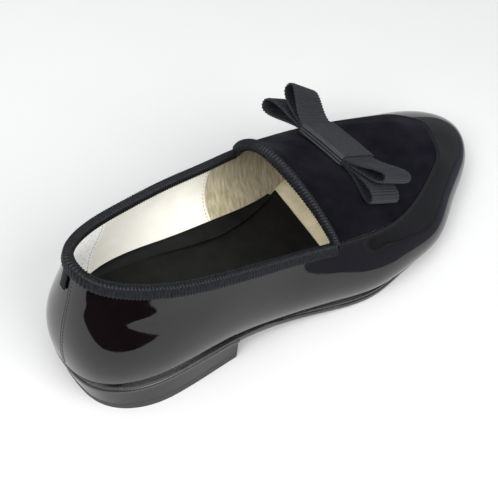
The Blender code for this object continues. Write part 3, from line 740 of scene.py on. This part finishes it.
def build_wall(look):
    """Patent skin of quarters and vamp: the outer half of the upper's wall, closed round the shoe."""
    u = np.linspace(0.0, LAST.knots[-1], WALL_STATIONS, endpoint=False)[:, None]
    v = np.linspace(0.0, 1.0, WALL_LEVELS + 1)[None]
    us, vs = np.broadcast_arrays(u, v)
    dent = crease_depth(us.ravel(), vs.ravel()).reshape(us.shape)
    outer, inner = wall_sheet(u, v, -dent), wall_sheet(u, v, -SKIN)
    outer[:, 0, 2] -= GAP
    inner[:, 0, 2] -= GAP
    sweep("patent_wall", slab(outer, inner), True, look, ["upper"])


def build_plug(look):
    """Velvet over the vamp, with the leather that carries it."""
    a = np.linspace(1.0, 0.0, PLUG_STATIONS + 1)
    start = (PIPING_HALF + GAP) * LAST.rim_step(a)[:, None]
    w = start + (1.0 - start) * np.linspace(0.0, 1.0, PLUG_LEVELS + 1)[None]
    outer, inner = plug_sheet(a, w, GAP + PLUG_THICKNESS), plug_sheet(a, w, -SKIN)
    sweep("velvet_plug", slab(outer, inner), False, look, ["plug"])


def inside_stitches(name, edges, v, depth, look):
    """Rows of stitches up the inside of the wall, one for each named edge."""
    for side, edge in edges:
        stitches(name + side, off_wall(edge, v, -depth), -LAST.wall_normal(edge, v), look)


def build_linings(looks):
    total = LAST.knots[-1]
    v = np.linspace(0.0, 1.0, WALL_LEVELS + 1)
    bow = LINING_BOW * (1.0 - (2.0 * v - 1.0) ** 2)
    lateral = LAST.u_lateral(LINING_ROW - bow)
    medial = LAST.u_medial(LINING_ROW - bow)
    part = np.linspace(0.0, 1.0, WALL_STATIONS // 2)[:, None]

    quarter = medial + (lateral + total - medial) * part
    inside = wall_sheet(quarter, v[None], -WALL)
    sweep("quarter_lining", slab(wall_sheet(quarter, v[None], -SKIN), inside), False,
          looks["lining"], ["upper"])
    forward = lateral + (medial - lateral) * part
    thin = -WALL + LINING_STEP
    side = slab(wall_sheet(forward, v[None], -SKIN), wall_sheet(forward, v[None], thin))
    sweep("vamp_side_lining", side, False, looks["suede"])
    a = np.linspace(1.0, 0.0, PLUG_STATIONS + 1)
    w = np.linspace(0.0, 1.0, PLUG_LEVELS + 1)[None]
    over = slab(plug_sheet(a, w, -SKIN), plug_sheet(a, w, -WALL))
    sweep("vamp_lining", over, False, looks["suede"])
    edges = ("lateral", lateral - STITCH_MARGIN), ("medial", medial + STITCH_MARGIN)
    inside_stitches("lining_stitches_", edges, v, WALL, looks["cream_thread"])


def build_grip(looks):
    """Suede patch inside the heel, sewn on along its edge."""
    total = LAST.knots[-1]
    v = np.linspace(GRIP_LOW, GRIP_HIGH, WALL_LEVELS + 1)
    row = GRIP_ROW - GRIP_TAPER * np.linspace(0.0, 1.0, len(v)) ** 2
    medial, lateral = LAST.u_medial(row), LAST.u_lateral(row) + total
    part = np.linspace(0.0, 1.0, WALL_STATIONS // 4)[:, None]
    u = medial + (lateral - medial) * part
    low, high = wall_sheet(u, v[None], -WALL), wall_sheet(u, v[None], -WALL - GRIP_THICKNESS)
    sweep("heel_grip", slab(low, high), False, looks["grip"])
    edges = ("medial", medial + STITCH_MARGIN), ("lateral", lateral - STITCH_MARGIN)
    inside_stitches("grip_stitches_", edges, v, WALL + GRIP_THICKNESS, looks["cream_thread"])


def build_back_seam(looks):
    """Seam down the back of the heel, a row of stitches beside it and the binding's ends at its top."""
    v = np.linspace(BACK_SEAM_LOW, BACK_SEAM_TOP, WALL_LEVELS + 1)

    def rail(shift, depth):
        return off_wall(np.full(len(v), shift), v, depth)

    corners = [
        (-BACK_SEAM_HALF, -BACK_SEAM_SINK),
        (-BACK_SEAM_HALF, 0.0),
        (0.0, BACK_SEAM_PROUD),
        (BACK_SEAM_HALF, 0.0),
        (BACK_SEAM_HALF, -BACK_SEAM_SINK),
    ]
    ridge = rounded(np.stack([rail(*corner) for corner in corners], axis=1))
    sweep("back_seam", ridge, False, looks["patent"])

    u = np.full(len(v), BACK_STITCH_SHIFT)
    stitches("back_stitches", LAST.wall(u, v), LAST.wall_normal(u, v), looks["black_thread"])

    depth = np.linspace(COLLAR_OUTER - TAB_THICKNESS, COLLAR_OUTER + TAB_LENGTH, WALL_LEVELS + 1)

    def edge(shift, proud):
        u = np.full(len(depth), shift)
        return off_wall(u, 1.0 - depth * LAST.wall_step(u), proud)

    spots = [(TAB_FAR, GAP), (TAB_FAR, TAB_THICKNESS), (TAB_NEAR, TAB_THICKNESS), (TAB_NEAR, GAP)]
    tab = rounded(np.stack([edge(*spot) for spot in spots], axis=1))
    # The binding's ends take the piping's darker grosgrain, whose darkness is painted shade.
    sweep("binding_ends", ribbed(tab, False, RIB_PITCH, TAB_RIB), False, looks["piping"])


def collar_sections(u):
    step = LAST.wall_step(u)

    def at(depth):
        v = 1.0 - depth * step
        return LAST.wall(u, v), LAST.wall_normal(u, v)

    (deep, n_deep), (middle, n_middle) = at(COLLAR_OUTER), at(0.5 * COLLAR_OUTER)
    (rim, n), (inner, n_inner) = at(0.0), at(COLLAR_INNER)
    up = LAST.rim_slope(u)
    skin = GAP + BINDING_THICKNESS
    return np.stack([
        deep + n_deep * GAP,
        deep + n_deep * skin,
        middle + n_middle * skin,
        rim + n * skin + up * FOLD_RISE,
        rim + n * FOLD_CORNER * skin + up * skin,
        rim - n * (WALL + FOLD_CORNER * skin) + up * skin,
        rim - n * (WALL + skin) + up * FOLD_RISE,
        inner - n_inner * (WALL + skin),
        inner - n_inner * (WALL + GAP),
        rim - n * (WALL + GAP) + up * GAP,
        rim + n * GAP + up * GAP,
        middle + n_middle * GAP,
    ], axis=1)


def build_collar_binding(look):
    first = LAST.u_medial(THROAT_ROW) + BINDING_END
    last = LAST.u_lateral(THROAT_ROW) + LAST.knots[-1] - BINDING_END
    coarse = np.linspace(first, last, PROBE_STATIONS)
    u = even(coarse, LAST.ring(coarse)[1], RIB_PITCH / RIB_SAMPLES)
    sections = ribbed(rounded(collar_sections(u)), False, RIB_PITCH, RIB_HEIGHT)
    sweep("ribbed_collar_binding", sections, False, look, ["collar_binding"])


def throat_sections(side, level):
    edge, n = LAST.plug(side, level), LAST.plug_normal(side, level)
    sign = np.sign(side)
    ahead = LAST.plug(side - sign * FOLD_PROBE, level)
    reach = np.linalg.norm(ahead - edge, axis=1) / FOLD_PROBE
    outer, inner = side - sign * THROAT_OUTER / reach, side - sign * THROAT_INNER / reach
    over, n_over = LAST.plug(outer, level), LAST.plug_normal(outer, level)
    under, n_under = LAST.plug(inner, level), LAST.plug_normal(inner, level)
    back = unit(edge - ahead)
    outside = GAP + PLUG_THICKNESS + GAP
    skin = GAP + BINDING_THICKNESS
    return np.stack([
        over + n_over * outside,
        over + n_over * (outside + BINDING_THICKNESS),
        edge + n * (outside + BINDING_THICKNESS) + back * FOLD_RISE,
        edge + n * 0.5 * outside + back * skin,
        edge - n * WALL + back * skin,
        edge - n * (WALL + skin) + back * FOLD_RISE,
        under - n_under * (WALL + skin),
        under - n_under * (WALL + GAP),
        edge - n * (WALL + GAP) + back * GAP,
        edge + n * outside + back * GAP,
    ], axis=1)


def build_throat_binding(look):
    """From the lateral throat corner over the crest to the medial one."""
    travel = np.linspace(0.0, 2.0, PROBE_STATIONS)

    def ends(t):
        side = np.where(t <= 1.0, -1.0, 1.0)
        part = np.where(t <= 1.0, t, 2.0 - t)
        return side, THROAT_START + (1.0 - THROAT_START) * part

    t = even(travel, LAST.plug(*ends(travel)), RIB_PITCH / RIB_SAMPLES)
    sections = ribbed(rounded(throat_sections(*ends(t))), False, RIB_PITCH, RIB_HEIGHT)
    sweep("ribbed_throat_binding", sections, False, look, ["throat_binding"])


def build_piping(look):
    coarse = np.linspace(-1.0 + PIPING_END, 1.0 - PIPING_END, PROBE_STATIONS)
    g = even(coarse, LAST.ring(LAST.side_u(coarse))[1], PIPING_PITCH / RIB_SAMPLES)
    u = LAST.side_u(g)
    below, edge, past = 1.0 - PIPING_HALF * LAST.wall_step(u), np.ones(len(u)), PIPING_HALF * LAST.rim_step(g)
    spots = [
        (LAST.wall(u, below), LAST.wall_normal(u, below)),
        (LAST.wall(u, edge), LAST.wall_normal(u, edge)),
        (LAST.plug(g, past), LAST.plug_normal(g, past)),
    ]
    shoulder = PIPING_SHOULDER * PIPING_HEIGHT
    low = [p + n * GAP for p, n in spots]
    high = [p + n * (GAP + h) for (p, n), h in zip(spots, (shoulder, PIPING_HEIGHT, shoulder))]
    sections = rounded(np.stack(low + high[::-1], axis=1))
    sections = ribbed(sections, False, PIPING_PITCH, RIB_HEIGHT, PIPING_SLANT)
    sweep("ribbed_piping", sections, False, look, ["plug_piping"])


# Bottom

def sole_rows(first, last, count):
    """Rows between two sections, closer together at the two ends."""
    return first + (last - first) * (0.5 - 0.5 * np.cos(np.linspace(0.0, np.pi, count)))


def plate(name, rows, reach, top, bottom, bevel, look, nodes=()):
    """A layer that follows the bottom of the last; rows gives lateral and medial rows in pairs."""
    sides = []
    for u in (LAST.u_lateral(rows[0]), LAST.u_medial(rows[1])):
        foot, _, out, _, _, edge = LAST.ring(u)
        full = foot[:, :2] + out[:, :2] * reach(edge)[:, None]
        cut = foot[:, :2] + out[:, :2] * (reach(edge) - bevel)[:, None]
        high, low = top(full[:, 0]), bottom(full[:, 0])
        corners = (cut, high), (full, high - 0.5 * bevel), (full, low + bevel), (cut, low)
        sides.append([np.c_[spot, z] for spot, z in corners])
    sections = np.stack(sides[0] + sides[1][::-1], axis=1)
    return sweep(name, rounded(sections), False, look, nodes)


def welt_thickness(x):
    start, full = SECTIONS[WAIST_ROW - 1].foot_x, SECTIONS[THROAT_ROW - 1].foot_x
    part = smooth_step((x - start) / (full - start))
    return WELT_END_THICKNESS + (WELT_THICKNESS - WELT_END_THICKNESS) * part


def outsole_top(x):
    end = SECTIONS[WAIST_ROW - 1].foot_x - WELT_RAMP_END
    under_welt = smooth_step((x - end + WELT_RAMP) / WELT_RAMP)
    return foot_z(x) - GAP - (welt_thickness(x) + GAP) * under_welt


def build_bottom(looks):
    whole = sole_rows(0.0, TOE_ROW, SOLE_STATIONS)
    fore = sole_rows(WAIST_ROW, TOE_ROW, SOLE_STATIONS)
    plate("sole_leather", (whole, whole), lambda e: e, outsole_top, tread_z, EDGE_BEVEL,
          looks["sole"], ["outsole"])
    plate("welt_leather", (fore, fore), lambda e: e - WELT_INSET, lambda x: foot_z(x) - GAP,
          lambda x: foot_z(x) - GAP - welt_thickness(x), WELT_BEVEL, looks["sole"], ["welt"])
    plate("insole_leather", (whole, whole), lambda e: 0.0 * e - WALL - GAP,
          lambda x: foot_z(x) + INSOLE_THICKNESS, foot_z, INSOLE_BEVEL, looks["insole"], ["insole"])
    sock = sole_rows(0.0, SOCK_LATERAL_ROW, SOLE_STATIONS), sole_rows(0.0, SOCK_MEDIAL_ROW, SOLE_STATIONS)
    plate("sock_leather", sock, lambda e: 0.0 * e - WALL - GAP - SOCK_INSET,
          lambda x: foot_z(x) + INSOLE_THICKNESS + SOCK_THICKNESS,
          lambda x: foot_z(x) + INSOLE_THICKNESS - SOCK_THICKNESS, INSOLE_BEVEL, looks["sock"])


def build_sock_arch(look):
    """Inner edge of the sock, which climbs the wall at the arch."""
    rows = np.linspace(ARCH[0][0], ARCH[-1][0], SOLE_STATIONS)
    rise = np.linspace(0.0, 1.0, ARCH_STEPS + 1)[None]
    u = LAST.u_medial(rows)[:, None]
    v = ARCH_FOOT + (open_spline(ARCH, rows) - ARCH_FOOT) * rise
    thick = SOCK_THICKNESS + ARCH_FILLET * (1.0 - rise) ** 2
    sweep("sock_arch", slab(wall_sheet(u, v, -WALL), wall_sheet(u, v, -WALL - thick)), False, look)


def build_seat_edge(look):
    """Burnished edge of the sole round the heel, with the marks of a wheel."""
    first, last = LAST.u_medial(BREAST_ROW), LAST.u_lateral(BREAST_ROW) + LAST.knots[-1]
    coarse = np.linspace(first, last, PROBE_STATIONS)
    u = even(coarse, LAST.ring(coarse)[0], WHEEL_PITCH / RIB_SAMPLES)
    foot, _, out, _, _, edge = LAST.ring(u)
    full = foot + out * (edge + SEAT_EDGE_PROUD)[:, None]
    inside = foot + out * (edge - SEAT_EDGE_DEPTH)[:, None]
    shoulder = full - out * SEAT_EDGE_BEVEL
    low, high = tread_z(foot[:, 0]) + SEAT_EDGE_GROOVE, foot_z(foot[:, 0]) - GAP - SEAT_EDGE_GROOVE
    corners = ((inside, low), (full, low), (full, high - SEAT_EDGE_BEVEL), (shoulder, high), (inside, high))
    section = np.stack([np.c_[spot[:, :2], z] for spot, z in corners], axis=1)
    sections = ribbed(rounded(section), False, WHEEL_PITCH, WHEEL_HEIGHT)
    sweep("heel_seat_edge", sections, False, look)


def heel_edge(rows, level):
    """Lateral and medial edge of the heel at a level from 0, under the seat, to 1, on the floor."""
    sides = []
    for u in (LAST.u_lateral(rows), LAST.u_medial(rows)):
        foot, _, out, _, _, sole_edge = LAST.ring(u)
        reach = sole_edge - HEEL_INSET + HEEL_FLARE * level
        edge = foot[:, :2] + out[:, :2] * reach[:, None]
        edge[:, 0] += HEEL_PITCH * level * np.clip(1.0 - foot[:, 0] / HEEL_PITCH_REACH, 0.0, 1.0)
        sides.append(edge)
    return sides


def heel_layer(name, levels, heights, look, nodes):
    rows = BREAST_ROW * np.sin(np.linspace(0.0, 0.5 * np.pi, SOLE_STATIONS))
    down, rising = [], []
    for level, height in zip(levels, heights):
        lateral, medial = heel_edge(rows, level)
        down.append(np.c_[lateral, height(lateral[:, 0])])
        rising.append(np.c_[medial, height(medial[:, 0])])
    sweep(name, np.stack(down + rising[::-1], axis=1), False, look, nodes)


def build_heel(looks):
    lift_level = 1.0 - LIFT_THICKNESS / SEAT_HEIGHT
    floor = LIFT_THICKNESS + GAP
    levels = np.linspace(0.0, lift_level, HEEL_LEVELS)

    def height(level):
        part = level / lift_level
        return lambda x: (tread_z(x) - GAP) * (1.0 - part) + floor * part

    heel_layer("covered_heel", levels, [height(v) for v in levels], looks["patent"], ["heel_block"])
    heel_layer("rubber_lift", [lift_level, 1.0], [lambda x: 0.0 * x + LIFT_THICKNESS, lambda x: 0.0 * x],
               looks["rubber"], ["heel_lift"])


# Bow

class BowFrame:
    """Frame of the bow on the crest of the vamp: along the bow, across the ribbon, and up."""

    def __init__(self):
        x = np.array([BOW_X])
        y, z = open_spline(SPINE, x)[0]
        slope = spine_slope(x)[0]
        shear = np.radians(BOW_SHEAR)
        toe = unit(np.array([1.0, 0.0, slope]))
        self.up = unit(np.array([-slope, 0.0, 1.0]))
        self.along = np.array([0.0, 1.0, 0.0])
        self.across = np.sin(shear) * self.along + np.cos(shear) * toe
        self.centre = np.array([BOW_X, y + BOW_SHIFT, z]) + self.up * (GAP + PLUG_THICKNESS + BOW_LIFT)

    def place(self, s, width, h, shift=0.0, tilt=0.0):
        s, width, h, shift, tilt = np.broadcast_arrays(s, width, h, shift, tilt)
        level, fall = shift + width * np.cos(tilt), width * np.sin(tilt)
        wide = level[..., None] * self.across - fall[..., None] * self.up
        return self.centre + s[..., None] * self.along + wide + h[..., None] * self.up


def knot_drop(s):
    return -s * s / (2.0 * KNOT_BEND_RADIUS)


def layer_height(index):
    """Middle of ribbon layer 0 to 3 above the underside of the band."""
    return BINDING_THICKNESS + GAP + 0.5 * RIBBON_THICKNESS + index * (RIBBON_THICKNESS + GAP)


def loop_path(loop, high_layer, low_layer):
    """Middle line of one loop: along the bow, height, shift towards the toe and tilt of the ribbon."""
    start = 0.5 * KNOT_LENGTH * loop.side
    angle = np.radians(loop.angle)
    axis = np.array([loop.side * np.cos(angle), np.sin(angle)])
    leave = np.array([loop.side * np.cos(0.5 * angle), np.sin(0.5 * angle)]) * LEAVE_HANDLE * loop.length
    spread = np.array([-loop.side * axis[1], loop.side * axis[0]]) * TIP_HANDLE * loop.half_height
    high = np.array([start, layer_height(high_layer) + knot_drop(start)])
    low = np.array([start, layer_height(low_layer) + knot_drop(start)])
    tip = 0.5 * (high + low) + axis * loop.length
    t = np.linspace(0.0, 1.0, LOOP_STEPS + 1)
    rows = np.ones((len(t), 1))
    out = bezier(rows * high, rows * (high + leave), rows * (tip + spread), rows * tip, t)
    back = bezier(rows * tip, rows * (tip - spread), rows * (low + leave), rows * low, t)
    line = np.vstack([out, back[1:]])
    part = np.clip((line - 0.5 * (high + low)) @ axis / loop.length, 0.0, 1.0)
    return np.c_[line, loop.skew * part * part, np.radians(loop.twist) * part]


def ribbon_ring(name, layers, look, bow):
    """A ribbon sewn into a ring and pinched at its middle, so that it makes two loops."""
    low, high = layers
    far, near = [loop for loop in LOOPS if loop.ribbon == name]
    through = np.linspace(-0.5, 0.5, KNOT_STEPS + 1)[1:-1] * KNOT_LENGTH
    flat = np.zeros((len(through), 2))
    top = np.c_[through, layer_height(high) + knot_drop(through), flat]
    bottom = np.c_[through[::-1], layer_height(low) + knot_drop(through), flat]
    path = np.vstack([top, loop_path(far, high, low), bottom, loop_path(near, high, low)[::-1]])
    closed = np.vstack([path, path[:1]])
    index = even(np.arange(len(closed)), closed[:, :2], RIB_PITCH / RIB_SAMPLES)[:-1]
    path = columns_at(index, np.arange(len(closed)), closed)
    ahead, behind = np.roll(path, -1, axis=0), np.roll(path, 1, axis=0)
    along = unit((ahead - behind)[:, :2])
    side = np.c_[-along[:, 1], along[:, 0]] * 0.5 * RIBBON_THICKNESS
    half = 0.5 * RIBBON_WIDTH
    widths = np.array([-half, -0.5 * half, 0.0, 0.5 * half, half])
    corners = [(1.0, w) for w in widths] + [(-1.0, w) for w in widths[::-1]]
    sections = np.stack([
        bow.place(path[:, 0] + side[:, 0] * k, w, path[:, 1] + side[:, 1] * k, path[:, 2], path[:, 3])
        for k, w in corners], axis=1)
    sections = ribbed(rounded(sections), True, RIB_PITCH, RIB_HEIGHT)
    sweep("ribbed_bow_" + name, sections, True, look, ["bow_%s_ribbon" % name])


def band_section(grow):
    """Rounded rectangle round the ribbons, as width and height, grown by the band's thickness."""
    half = 0.5 * RIBBON_WIDTH + GAP + grow
    low = BINDING_THICKNESS - grow
    high = layer_height(3) + 0.5 * RIBBON_THICKNESS + GAP + grow
    corner = 0.5 * GAP + grow
    return np.array([
        (-half + corner, low), (half - corner, low), (half, low + corner), (half, high - corner),
        (half - corner, high), (-half + corner, high), (-half, high - corner), (-half, low + corner),
    ])


def build_bow(look):
    bow = BowFrame()
    ribbon_ring("lower", (0, 1), look, bow)
    ribbon_ring("upper", (2, 3), look, bow)
    outline = np.vstack([band_section(BINDING_THICKNESS), band_section(BINDING_THICKNESS)[:1]])
    inside = np.vstack([band_section(0.0), band_section(0.0)[:1]])
    index = even(np.arange(len(outline)), outline, RIB_PITCH / RIB_SAMPLES)[:-1]
    grid = np.arange(len(outline))
    outer, inner = columns_at(index, grid, outline), columns_at(index, grid, inside)
    stations = np.linspace(-0.5, 0.5, KNOT_STEPS + 1) * BAND_LENGTH
    lines = []
    for ring, order in ((outer, stations), (inner, stations[::-1])):
        for s in order:
            lines.append(bow.place(s, ring[:, 0], ring[:, 1] + knot_drop(s)))
    sections = ribbed(np.stack(lines, axis=1), True, RIB_PITCH, RIB_HEIGHT)
    sweep("ribbed_bow_band", sections, True, look, ["bow_band"])


# Studio

EYE = np.array([-120.0, -201.3, 381.9])
AIM = np.array([124.0, 4.0, 16.0])
PHOTO_UP = np.array([0.4215, 0.6130, 0.6683])
LENS = 64.0
FLOOR_SIZE = 40.0
SKY_COLOUR = (0.90, 0.95, 1.0, 1.0)
SKY_STRENGTH = 0.27
LAMP_UP = (0.0, 1.0, 0.2)
# Dark flags lie flat just outside the view and show in the gloss alone: a direction out from the shoe
# in degrees, their reach that way and their start and end along their edge in metres, and a colour
FLAG_HEIGHT = 0.002
Flag = namedtuple("Flag", "name direction near far start end colour")
FLAGS = [
    Flag("heel_flag", 232.0, 0.19, 0.8, -0.60, 0.02, (0.03, 0.015, 0.018)),
    Flag("toe_flag", 308.0, 0.142, 1.5, -0.35, 1.2, (0.13, 0.13, 0.165)),
]
Lamp = namedtuple("Lamp", "name place aim width height power")
LAMPS = [
    Lamp("overhead", (-0.35, 0.15, 1.5), (0.0, 0.0, 0.0), 1.8, 1.8, 23.0),
    Lamp("key", (0.1, -1.3, 1.1), (0.0, 0.0, 0.04), 1.5, 1.3, 38.0),
    Lamp("heel", (-1.1, -0.2, 1.0), (0.0, 0.0, 0.03), 0.8, 0.8, 22.0),
]


def look_at(place, aim, upright):
    """Transform whose -Z looks from place to aim."""
    back = unit(np.asarray(place, float) - np.asarray(aim, float))
    right = unit(np.cross(upright, back))
    up = np.cross(back, right)
    matrix = np.eye(4)
    matrix[:3, 0], matrix[:3, 1], matrix[:3, 2], matrix[:3, 3] = right, up, back, place
    return Matrix(matrix.tolist())


def stage_card(name, corners, look):
    mesh = bpy.data.meshes.new(name)
    mesh.from_pydata([tuple(corner) for corner in corners], [], [(0, 1, 2, 3)])
    mesh.materials.append(look.material)
    card = add(name, mesh)
    return card


def build_flags():
    for flag in FLAGS:
        look = Finish(flag.name, flag.colour, 0.9, Specular_IOR_Level=0.0)
        angle = np.radians(flag.direction)
        out = np.array([np.cos(angle), np.sin(angle), 0.0])
        along = np.array([-np.sin(angle), np.cos(angle), 0.0])
        spans = [(flag.near, flag.start), (flag.far, flag.start), (flag.far, flag.end), (flag.near, flag.end)]
        corners = [out * reach + along * place + np.array([0.0, 0.0, FLAG_HEIGHT]) for reach, place in spans]
        card = stage_card(flag.name, corners, look)
        card.visible_camera = False
        card.visible_diffuse = False
        card.visible_shadow = False
        card.visible_transmission = False


def build_studio():
    floor_look = Finish("floor", (0.86, 0.86, 0.85), 0.6, Specular_IOR_Level=0.2)
    floor_look.vary_colour(floor_look.noise(9.0, 3.0), (0.465, 0.465, 0.462), (0.475, 0.475, 0.472))
    half = 0.5 * FLOOR_SIZE
    corners = (-half, -half, 0.0), (half, -half, 0.0), (half, half, 0.0), (-half, half, 0.0)
    stage_card("floor", corners, floor_look)
    for lamp in LAMPS:
        light = bpy.data.lights.new(lamp.name, "AREA")
        light.shape = "RECTANGLE"
        light.size, light.size_y = lamp.width, lamp.height
        light.energy = lamp.power
        add(lamp.name, light).matrix_world = look_at(lamp.place, lamp.aim, LAMP_UP)
    world = bpy.data.worlds.new("studio")
    world.use_nodes = True
    sky = world.node_tree.nodes["Background"]
    sky.inputs["Color"].default_value = SKY_COLOUR
    sky.inputs["Strength"].default_value = SKY_STRENGTH
    bpy.context.scene.world = world
    bpy.context.scene.view_settings.view_transform = "Standard"


def build_camera():
    camera = bpy.data.cameras.new("camera")
    camera.lens = LENS
    made = add("camera", camera)
    made.matrix_world = look_at((EYE - ORIGIN) * MM, (AIM - ORIGIN) * MM, PHOTO_UP)
    bpy.context.scene.camera = made


def main():
    looks = {
        "patent": patent(),
        "velvet": velvet(),
        "grosgrain": grosgrain("grosgrain", (0.004, 0.0046, 0.006), (0.013, 0.0148, 0.018), 0.35, 0.04),
        # The binding's grosgrain is the bow's ribbon made darker: the darker colour is painted shade.
        "binding": grosgrain("binding_grosgrain_painted_shade", (0.0008, 0.0009, 0.0014), (0.0085, 0.0095, 0.0120),
                             0.17, 0.012),
        # The piping's grosgrain is the bow's ribbon made darker still: the darker colour is painted shade.
        "piping": grosgrain("piping_grosgrain_painted_shade", (0.0012, 0.0013, 0.0022), (0.004, 0.0043, 0.0064),
                            0.12, 0.015),
        "sole": sole_leather(),
        "burnished": burnished_edge(),
        "rubber": rubber(),
        "lining": lining_leather(),
        "insole": insole_leather(),
        "suede": lining_suede(),
        "grip": grip_suede(),
        "sock": sock_leather(),
        "cream_thread": thread("cream_thread", (0.55, 0.50, 0.38)),
        "black_thread": thread("black_thread", (0.010, 0.010, 0.011)),
    }
    build_wall(looks["patent"])
    build_plug(looks["velvet"])
    build_linings(looks)
    build_grip(looks)
    build_back_seam(looks)
    build_collar_binding(looks["binding"])
    build_throat_binding(looks["binding"])
    build_piping(looks["piping"])
    build_bottom(looks)
    build_sock_arch(looks["sock"])
    build_seat_edge(looks["burnished"])
    build_heel(looks)
    build_bow(looks["grosgrain"])
    build_studio()
    build_flags()
    build_camera()


main()
